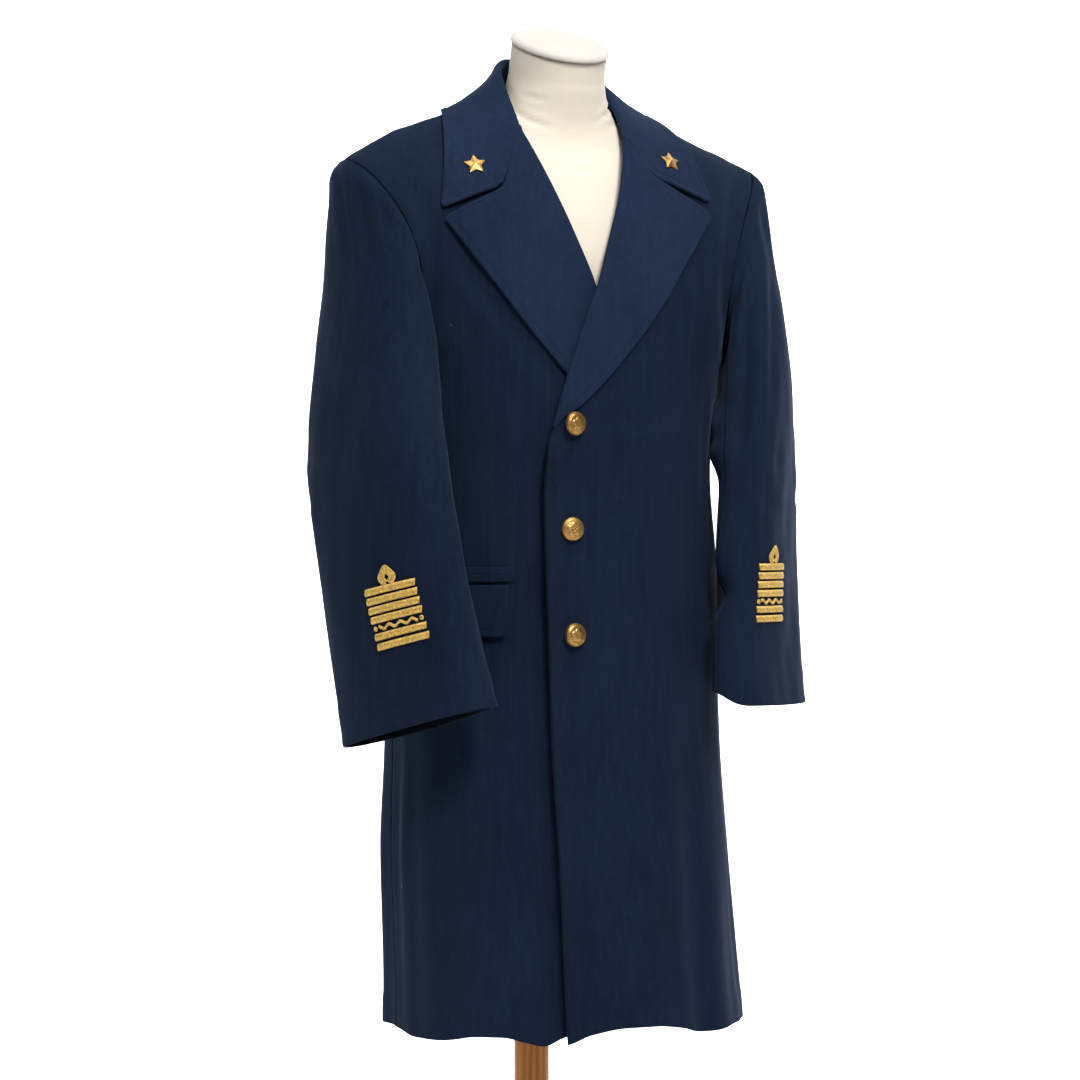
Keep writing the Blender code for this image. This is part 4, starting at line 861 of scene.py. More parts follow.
# where: "x" gives own-side x and z, "s" gives the share around the coat and the level;
# then the points with their strength, half width, depth and lean
FRONT_CREASES = {
    "right": (
        # soft fold from the shoulder into the chest, beside the sleeve
        ("s", ((0.80, 1.350, 0.0), (0.84, 1.325, 0.8), (0.875, 1.290, 1.0), (0.90, 1.245, 0.5), (0.90, 1.200, 0.0)), 0.0110, 0.0046, 0.2),
        ("s", ((0.70, 1.372, 0.0), (0.76, 1.340, 0.6), (0.82, 1.300, 0.7), (0.83, 1.250, 0.0)), 0.0150, -0.0020, 0.0),
        # shadowed drag beside the sleeve down to the waist
        ("s", ((0.90, 1.215, 0.0), (0.88, 1.120, 0.8), (0.86, 1.020, 0.9), (0.90, 0.930, 0.0)), 0.0130, 0.0030, -0.2),
        # soft trough beside the edge of the lapel
        ("x", ((0.158, 1.290, 0.3), (0.124, 1.236, 1.0), (0.084, 1.188, 0.9), (0.046, 1.148, 0.0)), 0.0085, 0.0026, 0.2),
        # valley beside the edge of the left front
        ("x", ((0.0705, 1.060, 0.0), (0.0715, 1.010, 0.8), (0.0715, 0.950, 1.0), (0.0700, 0.800, 1.0), (0.0705, 0.620, 0.9), (0.0710, 0.437, 1.0)), 0.0068, 0.0042, 0.0),
        # waist
        ("x", ((0.120, 1.085, 0.0), (0.085, 1.060, 0.6), (0.045, 1.050, 0.5), (0.010, 1.055, 0.0)), 0.0180, 0.0014, 0.0),
        # skirt: long soft folds
        ("s", ((0.62, 0.840, 0.0), (0.64, 0.740, 0.6), (0.67, 0.600, 0.9), (0.70, 0.437, 1.0)), 0.0150, 0.0026, 0.15),
        ("s", ((0.42, 0.760, 0.0), (0.44, 0.640, 0.5), (0.47, 0.437, 0.9)), 0.0170, -0.0022, 0.0),
        ("s", ((0.90, 0.800, 0.0), (0.88, 0.740, 0.9), (0.885, 0.670, 1.0), (0.89, 0.580, 0.2), (0.90, 0.500, 0.0)), 0.0090, -0.0022, 0.2),
        ("s", ((0.97, 0.790, 0.0), (0.955, 0.700, 0.8), (0.955, 0.560, 0.6), (0.960, 0.437, 0.5)), 0.0110, 0.0032, 0.0),
        ("s", ((0.22, 0.700, 0.0), (0.24, 0.560, 0.6), (0.25, 0.437, 0.9)), 0.0130, 0.0017, -0.2),
    ),
    "left": (
        # hollow between the lapel and the sleeve
        ("s", ((0.86, 1.385, 0.0), (0.885, 1.350, 0.8), (0.89, 1.300, 1.0), (0.885, 1.250, 0.7), (0.87, 1.190, 0.0)), 0.0120, 0.0040, 0.1),
        ("s", ((0.74, 1.340, 0.0), (0.77, 1.290, 0.6), (0.77, 1.235, 0.5), (0.74, 1.180, 0.0)), 0.0150, -0.0020, 0.0),
        # chest: long vertical drag
        ("x", ((0.136, 1.270, 0.0), (0.128, 1.235, 0.8), (0.125, 1.165, 1.0), (0.123, 1.090, 0.0)), 0.0110, 0.0026, -0.3),
        ("x", ((0.152, 1.180, 0.0), (0.146, 1.110, 0.7), (0.142, 1.020, 0.0)), 0.0100, 0.0020, 0.2),
        # dart under the chest
        ("x", ((0.0965, 1.052, 0.0), (0.0945, 1.035, 1.0), (0.0870, 0.984, 1.0), (0.0800, 0.929, 0.5), (0.0785, 0.915, 0.0)), 0.0019, 0.0019, 0.0),
        # faint drags from the top button
        ("x", ((-0.018, 1.106, 0.5), (0.020, 1.108, 1.0), (0.060, 1.107, 0.6), (0.085, 1.100, 0.0)), 0.0080, 0.0011, 0.2),
        ("x", ((-0.016, 0.996, 0.3), (0.018, 1.004, 1.0), (0.055, 1.014, 0.0)), 0.0090, 0.0012, 0.0),
        ("x", ((-0.018, 0.884, 0.3), (0.015, 0.900, 1.0), (0.050, 0.925, 0.0)), 0.0100, 0.0012, 0.0),
        ("x", ((0.030, 1.075, 0.0), (0.075, 1.062, 0.6), (0.120, 1.060, 0.0)), 0.0180, 0.0014, 0.0),
        # skirt
        ("s", ((0.74, 0.870, 0.0), (0.73, 0.740, 0.7), (0.72, 0.600, 0.9), (0.715, 0.437, 1.0)), 0.0150, 0.0028, 0.0),
        ("s", ((0.50, 0.800, 0.0), (0.50, 0.660, 0.6), (0.49, 0.437, 1.0)), 0.0190, -0.0024, 0.1),
        ("s", ((0.30, 0.780, 0.0), (0.30, 0.640, 0.6), (0.285, 0.437, 0.9)), 0.0140, 0.0022, -0.2),
        ("s", ((0.90, 0.860, 0.0), (0.895, 0.740, 0.8), (0.89, 0.600, 0.8), (0.885, 0.437, 0.9)), 0.0140, -0.0022, 0.0),
        ("x", ((0.012, 0.620, 0.0), (0.010, 0.540, 0.7), (0.014, 0.437, 0.9)), 0.0110, -0.0014, 0.0),
        # line of stitching that holds the facing between the buttons
        ("x", ((-0.0225, 0.985, 0.0), (-0.0220, 0.975, 1.0), (-0.0222, 0.930, 1.0), (-0.0225, 0.915, 0.0)), 0.0012, 0.0007, 0.0),
    ),
}
BACK_CREASES = {
    "right": (
        ("s", ((1.16, 1.340, 0.0), (1.20, 1.290, 0.9), (1.22, 1.220, 0.8), (1.20, 1.150, 0.0)), 0.0130, 0.0038, 0.2),
        ("s", ((1.34, 1.330, 0.0), (1.36, 1.260, 0.6), (1.35, 1.180, 0.0)), 0.0170, -0.0022, 0.0),
        ("s", ((1.12, 1.080, 0.0), (1.30, 1.055, 0.8), (1.55, 1.048, 0.7), (1.80, 1.055, 0.0)), 0.0170, 0.0024, 0.0),
        ("s", ((1.30, 0.900, 0.0), (1.31, 0.760, 0.7), (1.33, 0.600, 0.9), (1.34, 0.437, 1.0)), 0.0180, 0.0036, 0.2),
        ("s", ((1.62, 0.820, 0.0), (1.62, 0.680, 0.7), (1.61, 0.437, 1.0)), 0.0200, -0.0034, 0.0),
        ("s", ((1.10, 0.860, 0.0), (1.11, 0.720, 0.8), (1.12, 0.437, 0.9)), 0.0140, -0.0026, 0.0),
        ("s", ((1.80, 0.900, 0.0), (1.79, 0.720, 0.6), (1.78, 0.437, 0.9)), 0.0130, 0.0026, -0.2),
    ),
    "left": (
        ("s", ((1.18, 1.345, 0.0), (1.22, 1.300, 0.8), (1.24, 1.230, 1.0), (1.21, 1.140, 0.0)), 0.0140, 0.0040, 0.2),
        ("s", ((1.40, 1.320, 0.0), (1.40, 1.240, 0.7), (1.38, 1.170, 0.0)), 0.0160, -0.0020, 0.0),
        ("s", ((1.15, 1.070, 0.0), (1.35, 1.060, 0.7), (1.60, 1.045, 0.8), (1.82, 1.050, 0.0)), 0.0160, 0.0022, 0.0),
        ("s", ((1.36, 0.880, 0.0), (1.37, 0.740, 0.8), (1.38, 0.580, 0.9), (1.40, 0.437, 1.0)), 0.0170, 0.0034, 0.1),
        ("s", ((1.66, 0.860, 0.0), (1.66, 0.700, 0.6), (1.67, 0.437, 1.0)), 0.0210, -0.0032, 0.0),
        ("s", ((1.14, 0.800, 0.0), (1.13, 0.660, 0.8), (1.12, 0.437, 0.9)), 0.0130, -0.0028, 0.0),
        ("s", ((1.84, 0.860, 0.0), (1.83, 0.680, 0.6), (1.83, 0.437, 0.9)), 0.0120, 0.0024, 0.2),
    ),
}
SKIRT_RIPPLE = {
    "right": ripple((0.0009, 0.083, 1.9, 0.4), (0.0006, 0.047, -2.4, 1.9), (0.0005, 0.139, 0.31, 2.6)),
    "left": ripple((0.0009, 0.091, -2.2, 1.1), (0.0006, 0.051, 2.1, 0.2), (0.0005, 0.121, -0.27, 4.0)),
}
UPPER_RIPPLE = ripple((0.0006, 0.110, 0.23, 0.9), (0.0004, 0.061, -0.17, 2.2), (0.00025, 0.034, 0.12, 0.3))


def body_panel(side, back):
    top = SHOULDER_Z - 0.0011
    ra, rf = marks(lip_marks(LIP, 0.0050, 0.0085), lip_marks(SEAM_R, 0.0040), 176)
    lv = HEM_Z + ra + rf * (top - HEM_Z)
    n = len(lv)
    if back:
        u0, u1 = np.full(n, 0.0011), np.full(n, 0.9984)
        skip = np.zeros(n)
        first = lip_marks(SEAM_R, 0.0040)
        lip0 = SEAM_R
    else:
        u0 = edge_u(lv, side)
        u0 = np.where(np.abs(u0) < 0.0012, 0.0012, u0)
        u1 = np.full(n, 0.9984)
        z_edge = coat(lv, np.maximum(u0, -0.5), side)[:, 2]
        fold_from = BREAK_Z[side]
        skip = LAPEL_START * ease(fold_from - 0.010, fold_from + 0.012, z_edge)
        first = lip_marks(LIP) + stitch_marks(0.0075)
        lip0 = LIP
    dense = np.linspace(0, 1, 160)
    uu = u0[:, None] + (u1 - u0)[:, None] * dense
    lg = np.broadcast_to(lv[:, None], uu.shape)
    run = run_length(coat(lg, uu, side, back))
    ab = marks(first, lip_marks(SEAM_R, 0.0040), 58)
    length = run[:, -1] - skip
    pos, k = places(ab, length)
    u = pick(run, uu, pos + skip[:, None])
    lg = np.broadcast_to(lv[:, None], u.shape)
    d_left, d_right = pos / k, (length[:, None] - pos) / k
    d_hem = np.broadcast_to((lv - HEM_Z)[:, None], u.shape)
    d_top = np.broadcast_to((top - lv)[:, None], u.shape) * 1.15
    if back:
        p = coat(lg, u, side, True)
        p[..., 2] += hem_rise(2 - u, lg, side)
        p[..., 0] = np.maximum(p[..., 0], 2.5 * SEAM_GAP)
        toward = np.array([0, -1.0, 0])
        s_around = 2 - u
    else:
        p = front(lg, u, side)
        p[..., 2] += hem_rise(u, lg, side)
        toward = np.array([0, 1.0, 0])
        s_around = u
    # long low waves, growing toward the hem
    nrm = coat_normal(lg, u, side, back)
    arc = pos
    free = ease(0.0, 0.03, d_right) * (ease(0.0, 0.03, d_left) if back else ease(0.0, 0.02, d_left) * 0.6 + 0.4)
    amp = 1.5 * (1 - ease(0.44, 0.90, lg)) * (1.3 if back else 1.0)
    h = SKIRT_RIPPLE[side](arc, lg) * amp * free + UPPER_RIPPLE(arc + (0.05 if side == "left" else 0.0), lg) * ease(0.85, 1.0, lg) * free
    # the waist sits in a little at the back, the seams are pressed in
    for d in ((d_left, d_right) if back else (d_right,)):
        h = h + seam_level(d, 0.0005)
    h = h + seam_level(d_top, 0.0005)
    if not back and side == "left":
        # the free edge of the front curls forward a little
        curl = 0.0080 * np.exp(-(d_left / 0.0125) ** 2) * (0.85 + 0.15 * np.sin(lg * 23.0))
        h = h + curl * (1 - ease(fold_from - 0.035, fold_from - 0.004, z_edge))[:, None]
    p = p + nrm * h[..., None]
    lines = []
    for where, pts, wide, deep, lean in (BACK_CREASES if back else FRONT_CREASES)[side]:
        ln, st = (line_front if where == "x" else line_around)(side, pts)
        lines.append((ln, st, wide, deep, lean))
    p = press(p, toward, lines)
    half = wall_half((d_left, d_right, d_hem, d_top), (lip0, SEAM_R, LIP, SEAM_R), CLOTH_T / 2, 0.034)
    if not back and side == "left":
        # the edge is several layers of cloth turned in, thick and blunt
        layers = (1 - ease(0.004, 0.024, d_left)) * (1 - ease(fold_from - 0.035, fold_from - 0.004, z_edge))[:, None]
        half = half * (1 + 1.05 * layers)
    extra = np.zeros_like(half)
    if not back:
        extra = stitch_dip(d_left, 0.0075) * (1 - ease(fold_from - 0.02, fold_from, lg))
    name = ("coat_back_" if back else "coat_front_") + side
    ob = shell(name, world(p, side), half, world(np.broadcast_to(toward, p.shape), side), WOOL, extra, shade_inside=True)
    return finish_piece(ob, [("back_" if back else "front_") + side])


PANELS = {}
for SIDE in ("left", "right"):
    PANELS["front_" + SIDE] = body_panel(SIDE, False)
    PANELS["back_" + SIDE] = body_panel(SIDE, True)


# ------------------------------------------------------------------ lapels
def edge_line(side, s):
    z = BREAK_Z[side] + s * (LAPEL_TIP[side][1] - BREAK_Z[side])
    return np.stack([rows(LAPEL_EDGE[side], z)[..., 0], z], -1)


def roll_line(side, s):
    """Fold of the lapel, from the break up to the gorge."""
    z = BREAK_Z[side] + s * (GORGE[side][1] - BREAK_Z[side])
    return np.stack([edge_x(z, side), z], -1)


def top_line(t, side, tip, gap):
    """Gorge seam from the fold to the notch, then the notch edge out to the tip."""
    t = np.asarray(t, float)
    bend = 0.42
    gap = gap * (0.30 + 0.70 * ease(0.38, 0.50, t))
    a, b, c = np.array(GORGE[side]), np.array(NOTCH[side]), np.array(tip[side])
    q = np.where((t < bend)[..., None], a + (b - a) * (t / bend)[..., None],
                 b + (c - b) * ((t - bend) / (1 - bend))[..., None])
    d1, d2 = (b - a) / np.linalg.norm(b - a), (c - b) / np.linalg.norm(c - b)
    k = ease(bend - 0.02, bend + 0.02, t)[..., None]
    d = unit(d1 * (1 - k) + d2 * k)
    return q + np.stack([-d[..., 1], d[..., 0]], -1) * np.asarray(gap)[..., None]


LAPEL_CLEAR = CLOTH_T / 2 + TURNED_T / 2 + 0.0008
LAPEL_CREASES = {
    "right": (
        (((0.030, 1.235, 0.0), (0.060, 1.275, 0.8), (0.085, 1.320, 0.6), (0.100, 1.345, 0.0)), 0.0120, 0.0007, 0.0),
        (((0.118, 1.290, 0.0), (0.100, 1.262, 0.8), (0.080, 1.225, 0.0)), 0.0100, -0.0007, 0.0),
        (((0.000, 1.215, 0.0), (0.018, 1.185, 0.8), (0.032, 1.165, 0.0)), 0.0090, 0.0006, 0.2),
    ),
    "left": (
        (((0.020, 1.240, 0.0), (0.045, 1.275, 0.8), (0.070, 1.310, 0.6), (0.085, 1.340, 0.0)), 0.0130, 0.0008, 0.0),
        (((0.100, 1.285, 0.0), (0.085, 1.255, 0.8), (0.062, 1.225, 0.0)), 0.0100, -0.0007, 0.0),
        (((-0.030, 1.155, 0.0), (-0.010, 1.180, 0.8), (0.010, 1.215, 0.0)), 0.0080, -0.0006, 0.2),
    ),
}


def lapel_lay(side, t, length, s, cc):
    """How far the lapel's middle surface stands off the front, from its fold (0) to its edge (1)."""
    hidden = ease(0.40, 0.62, s) if side == "right" else np.ones_like(s)
    free = (0.0024 if side == "right" else 0.0012) * ease(0.45, 1.0, t) * hidden * ease(0.05, 0.30, s)
    settle = np.exp(-t * length / 0.020)
    sunk = 0.0015 * (1 - ease(0.0, 0.085, s)) if side == "left" else 0.0
    return LAPEL_CLEAR - sunk + (cc - LAPEL_CLEAR) * settle + 0.0032 * np.sin(math.pi * np.clip(t, 0, 1)) * s * (0.35 + 0.65 * hidden) + 0.0008 * t + free


def fold_clear(side, s):
    """Height of the roll at the fold of the lapel."""
    if side == "right":
        return LAPEL_CLEAR + 0.0016 * ease(0.42, 0.60, s)
    return LAPEL_CLEAR + (0.0011 + 0.0010 * ease(0.45, 0.8, s)) * ease(0.0, 0.14, s)


def fold_x(cc, phi):
    """Sideways place of the roll, by the turn round the fold from under (0) to over (pi)."""
    return LAPEL_START * (1 - ease(0, 1, phi / math.pi)) * 0.9 - 0.55 * cc * np.sin(phi) + 0.0004


def lapel(side):
    lo = lip_marks(0.0011, 0.0033, 0.0044, 0.0055, 0.0066, 0.0078, 0.0092, 0.0110, 0.0135)
    hi = lip_marks(LIP) + stitch_marks(0.0075)
    ab = marks(lo, hi, 34)
    sa, sf = marks(lip_marks(0.0012, 0.0035), lip_marks(LIP) + stitch_marks(0.0078) + [0.0130], 74)
    n = len(sa)
    ls = float(np.linalg.norm(roll_line(side, np.array(1.0)) - roll_line(side, np.array(0.0))))
    s_nom = np.clip(sf + sa / ls, 0, 1)
    c0 = fold_clear(side, s_nom)
    grown = ease(-0.01, 0.09, s_nom) if side == "left" else np.ones(n)
    wrap = math.pi * c0 / 2 * grown + 0.0004
    roll, edge = roll_line(side, s_nom), edge_line(side, s_nom)
    flat = np.linalg.norm(edge - roll, axis=1)
    length = wrap + np.maximum(flat, 0.0022)
    m, k = places(ab, length)
    b_edge = length[:, None] - m
    a_top = np.broadcast_to(((1 - s_nom) * ls)[:, None], m.shape)
    a2, b2 = round_corner(a_top, b_edge, 0.0085)
    m = length[:, None] - b2
    s = 1 - a2 / ls
    w = np.broadcast_to(wrap[:, None], m.shape)
    t = np.clip((m - w) / (length[:, None] - w), 0, 1)
    phi = np.clip(m / w, 0, 1) * math.pi
    r, e = roll_line(side, s), edge_line(side, s)
    r1, e1 = np.array(GORGE[side]), np.array(LAPEL_TIP[side])
    q = r + (e - r) * t[..., None]
    q = q + (s ** 4)[..., None] * (top_line(t, side, LAPEL_TIP, -0.0008) - (r1 + (e1 - r1) * t[..., None]))
    cc = np.broadcast_to(c0[:, None], m.shape)
    inside = m < w
    q[..., 0] = q[..., 0] + np.where(inside, fold_x(cc, phi) * grown[:, None], 0.0004)
    lay = lapel_lay(side, t, length[:, None], s, cc)
    out = np.where(inside, cc * (1 - np.cos(phi)) / 2, lay)
    p = on_front(q[..., 0], q[..., 1], side, out)
    toward = np.array([0, 1.0, 0.3])
    nrm = face_out(p, toward)
    lines = []
    for pts, wide, deep, lean in LAPEL_CREASES[side]:
        ln, st = line_front(side, pts)
        ln = ln + unit(np.array([0.0, 1.0, 0.3])) * LAPEL_CLEAR
        lines.append((ln, st, wide, deep, lean))
    flatmask = ease(0.004, 0.014, m)
    p2 = press(p, toward, lines)
    p = p + (p2 - p) * flatmask[..., None]
    d_in, d_out = m / k, b_edge / k
    d_bot, d_top = np.broadcast_to((s_nom * ls)[:, None], m.shape), a_top
    seam_or_edge = 0.0006 + (LIP - 0.0006) * ease(0.38, 0.46, t)
    half = wall_half((d_in, d_out, d_bot, d_top), (0.0011, LIP, 0.0200 if side == "left" else 0.0012, seam_or_edge), 0.0013, 0.016)
    extra = stitch_dip(d_out, 0.0075)
    extra = np.minimum(extra, stitch_dip(d_top, 0.0078) * ease(0.34, 0.42, t))
    # the lapel takes the lighter copy of the coating, which is painted light
    ob = shell("coat_lapel_" + side, world(p, side), half, world(np.broadcast_to(toward, p.shape), side), WOOL_PAINTED_LIT, extra)
    return finish_piece(ob, ["lapel_" + side])


for SIDE in ("left", "right"):
    PANELS["lapel_" + SIDE] = lapel(SIDE)


# ------------------------------------------------------------------ collar
def body_cloud(side, n=60):
    """Points and outward directions of the coat around the neck and shoulders."""
    lv = UNDERARM_Z + np.linspace(0.3, 1.0, n) * (SHOULDER_Z - UNDERARM_Z)
    u = np.linspace(0.0, 0.85, n)
    lg, ug = np.meshgrid(lv, u, indexing="ij")
    pts = [front(lg, ug, side).reshape(-1, 3), coat(lg, ug, side, True).reshape(-1, 3)]
    nrm = [coat_normal(lg, ug, side, b).reshape(-1, 3) for b in (False, True)]
    return np.concatenate(pts), np.concatenate(nrm)


def push_clear(p, cloud, gap):
    """Move points out until they stand gap off the coat."""
    pts, nrm = cloud
    q = p.copy()
    for _ in range(2):
        for idx in np.ndindex(q.shape[:-1]):
            d2 = ((pts - q[idx]) ** 2).sum(-1)
            k = int(np.argmin(d2))
            h = float((q[idx] - pts[k]) @ nrm[k])
            if h < gap:
                q[idx] = q[idx] + nrm[k] * (gap - h)
    return q


ACROSS = np.array([0.0, 0.10, 0.22, 0.34, 0.46, 0.58, 0.70, 0.80, 0.90, 1.0])


def collar_half(side, ws):
    """Sections of the collar: up the stand, over the fold, down the fall."""
    cloud = body_cloud(side)
    clear = CLOTH_T / 2 + TURNED_T / 2
    one = np.ones_like(ACROSS)
    cc = float(fold_clear(side, np.array(1.0)))
    span = math.dist(GORGE[side], LAPEL_TIP[side]) + math.pi * cc / 2
    line = top_line(ACROSS, side, COLLAR_TIP, 0.0008)
    end = on_front(line[:, 0] + 0.0004, line[:, 1], side, lapel_lay(side, ACROSS, span, one, cc * one) + 0.0002)
    # round the fold the end of the collar follows the roll of the lapel
    phi = np.arange(5) / 5 * math.pi
    end_rest = on_front(line[0, 0] + fold_x(cc, phi), np.full(5, line[0, 1]), side, cc * (1 - np.cos(phi)) / 2)
    fall = np.zeros((len(ws), len(ACROSS), 3))
    for i, w in enumerate(ws):
        c = rows(COLLAR, w)
        f0, e0 = c[0:3].copy(), c[3:6].copy()
        away = unit(np.array([f0[0], f0[1] - 0.055, 0.0]))
        f0 = f0 + away * 0.0024
        kk = float(ease(0.62, 1.0, w))
        for j, t in enumerate(ACROSS):
            q = f0 + (e0 - f0) * t
            bulge = (0.0110 * float(ease(0.46, 0.64, w)) - 0.0055) * math.sin(math.pi * t ** 0.8) * float(ease(1.0, 0.8, w))
            q = q + np.array([0, 0, 0.7]) * bulge + away * bulge * 0.7
            straight = end[0] + (end[-1] - end[0]) * t
            fall[i, j] = q + kk * (end[j] - q) + (1 - kk) * kk * (end[j] - straight)
    fall = push_clear(fall, cloud, clear + 0.0022)
    rest = np.zeros((len(ws), 5, 3))
    for i, w in enumerate(ws):
        c = rows(COLLAR, w)
        away = unit(np.array([c[0], c[1] - 0.055, 0.0]))
        first = fall[i, 0]
        kk = float(ease(0.80, 1.0, w))
        # the stand: from the neck seam up to just inside the fold
        wv = float(w)
        if wv > 0.58:
            t = np.interp(wv, [0.58, 1.0], [1.0, 0.755])
            seam = coat(UNDERARM_Z + t * (SHOULDER_Z - UNDERARM_Z), 0.0, side)
        else:
            t = np.interp(wv, [0.0, 0.20, 0.40, 0.58], [0.80, 0.87, 0.93, 1.0])
            seam = coat(UNDERARM_Z + t * (SHOULDER_Z - UNDERARM_Z), 0.0, side, True)
        low = seam - away * (CLOTH_T + 2 * SEAM_GAP) + np.array([0, 0, 0.0005])
        top_in = first - away * 0.0050 - np.array([0, 0, 0.0014])
        low = low + kk * (top_in + (low - top_in) * 0.55 - low)
        apex = first - away * 0.0024 + np.array([0, 0, 0.0021])
        for j, t in enumerate((0.0, 0.36, 0.70, 1.0)):
            rest[i, j] = low + (top_in - low) * t
        rest[i, 4] = apex
        k2 = float(ease(0.80, 1.0, w))
        rest[i] += k2 * (end_rest - rest[i])
    return np.concatenate([rest, fall], axis=1)


def collar():
    ws = np.array([0.0, 0.07, 0.14, 0.21, 0.28, 0.35, 0.42, 0.49, 0.55, 0.61, 0.67, 0.73, 0.79, 0.85, 0.90, 0.95, 1.0])
    r, l = collar_half("right", ws), collar_half("left", ws)
    r = r[::-1].copy()
    r[..., 0] *= -1.0
    coarse = np.concatenate([r[:-1], l])                      # world-left coordinates
    # even out the pushed points a little along the collar, but not at its ends
    for _ in range(2):
        mid = coarse.copy()
        mid[1:-1] = 0.5 * coarse[1:-1] + 0.25 * (coarse[:-2] + coarse[2:])
        coarse[3:-3] = mid[3:-3]
    nw = len(coarse)
    chord = np.linalg.norm(np.diff(coarse, axis=1), axis=-1).mean(0)
    xs = np.concatenate([[0], np.cumsum(chord)])
    chord_w = np.linalg.norm(np.diff(coarse[:, 8:], axis=0), axis=-1).mean(1)
    xw = np.concatenate([[0], np.cumsum(chord_w)])
    total_w = xw[-1]
    hi = lip_marks(LIP) + stitch_marks(0.0075) + [0.0125]
    wa, wf = marks(hi, hi, 118)
    w_nom = wa + wf * total_w
    ab = marks(lip_marks(0.0012, 0.0035), lip_marks(LIP) + stitch_marks(0.0075), 40)
    # dense sections at the wanted rows
    flat = coarse.reshape(nw, -1)
    fine = curve_through(xw, flat, w_nom).reshape(len(w_nom), coarse.shape[1], 3)
    dense_x = np.linspace(0, xs[-1], 240)

    def section(rows_, x):
        """x is one list of places for all rows."""
        return np.moveaxis(curve_through(xs, np.moveaxis(rows_, 1, 0).reshape(len(xs), -1), x).reshape(len(x), len(rows_), 3), 0, 1)

    dense = section(fine, dense_x)
    run = run_length(dense)
    length = run[:, -1]
    pos, k = places(ab, length)
    x = pick(run, np.broadcast_to(dense_x, run.shape), pos)
    d_in, d_out = pos / k, (length[:, None] - pos) / k
    d_a = np.broadcast_to(w_nom[:, None], x.shape)
    d_b = total_w - d_a
    # round the two front corners
    a2, b2 = round_corner(d_a, d_out, 0.0085)
    e2, f2 = round_corner(d_b, d_out, 0.0085)
    wpos = np.where(d_a < 0.05, a2, d_a)
    wpos = np.where(d_b < 0.05, total_w - e2, wpos)
    out2 = np.where(d_a < 0.05, b2, np.where(d_b < 0.05, f2, d_out))
    x = pick(run, np.broadcast_to(dense_x, run.shape), length[:, None] - out2 * k)
    # evaluate the two-way curve at (wpos, x), column by column
    p = np.zeros(x.shape + (3,))
    for j in range(x.shape[1]):
        fw = curve_through(xw, flat, wpos[:, j]).reshape(len(w_nom), coarse.shape[1], 3)
        kseg = np.clip(np.searchsorted(xs, x[:, j], side="right") - 1, 0, len(xs) - 2)
        # section slopes, the same rule as in curve_through
        p[:, j] = row_curve(xs, fw, x[:, j], kseg)
    nrm = grid_normals(p)
    away = p - np.array([0, 0.055, 0])
    away[..., 2] = 0
    sel = d_out < 0.05
    if float((nrm * away)[sel].sum()) < 0:
        nrm = -nrm
    h = np.zeros(x.shape)
    top = length[:, None] - pos
    h += 0.0006 * np.sin(w_nom[:, None] * 38.0 + 0.6) * np.sin(math.pi * np.clip(top / length[:, None], 0, 1))
    p = p + nrm * h[..., None]
    # wherever the fall comes too near the coat it is lifted, with a smooth run-out
    need = np.zeros(x.shape)
    tests = [(body_cloud("left", 110), 1.0), (body_cloud("right", 110), -1.0)]
    for i in range(x.shape[0]):
        for (pts, out), sgn in tests:
            q = p[i] * np.array([sgn, 1, 1])
            sel_q = (q[:, 0] > 0.0) & (d_out[i] < 0.095)
            if not sel_q.any():
                continue
            d2 = ((q[sel_q][:, None] - pts[None]) ** 2).sum(-1)
            kk = d2.argmin(1)
            gap_now = ((q[sel_q] - pts[kk]) * out[kk]).sum(-1)
            need[i, sel_q] = np.maximum(need[i, sel_q], CLOTH_T / 2 + 0.0014 + 0.0016 - gap_now)
    need = np.clip(need, 0, 0.012)
    soft = need.copy()
    for _ in range(14):
        wide_ = soft.copy()
        wide_[1:-1] = np.maximum(soft[1:-1], 0.5 * (soft[:-2] + soft[2:]) * 0.97)
        soft = wide_
        wide_[:, 1:-1] = np.maximum(soft[:, 1:-1], 0.5 * (soft[:, :-2] + soft[:, 2:]) * 0.97)
        soft = np.maximum(wide_, need)
    for _ in range(4):
        soft[1:-1] = np.maximum(0.5 * soft[1:-1] + 0.25 * (soft[:-2] + soft[2:]), need[1:-1])
        soft[:, 1:-1] = np.maximum(0.5 * soft[:, 1:-1] + 0.25 * (soft[:, :-2] + soft[:, 2:]), need[:, 1:-1])
    p = p + nrm * soft[..., None]
    nrm = grid_normals(p)
    if float((nrm * away)[sel].sum()) < 0:
        nrm = -nrm
    seam_or_edge = 0.0006 + (LIP - 0.0006) * ease(0.082, 0.070, d_out)
    half = wall_half((d_in, d_out, d_a, d_b), (0.0012, LIP, seam_or_edge, seam_or_edge), 0.0014, 0.016)
    fall_part = 1 - ease(0.085, 0.110, d_out)
    extra = stitch_dip(d_out, 0.0075) * fall_part
    extra = np.minimum(extra, (stitch_dip(d_a, 0.0075) + stitch_dip(d_b, 0.0075)) * fall_part)
    toward = np.where(sel[..., None], away, 0.0)
    toward = toward * np.array([1, -1.0, 1])
    wp = p * np.array([1, -1.0, 1])
    # the collar takes the lighter copy of the coating, which is painted light
    ob = shell("coat_collar", wp, half, toward, WOOL_PAINTED_LIT, extra)
    return finish_piece(ob, ["collar_fall", "collar_stand"]), p, nrm, d_out


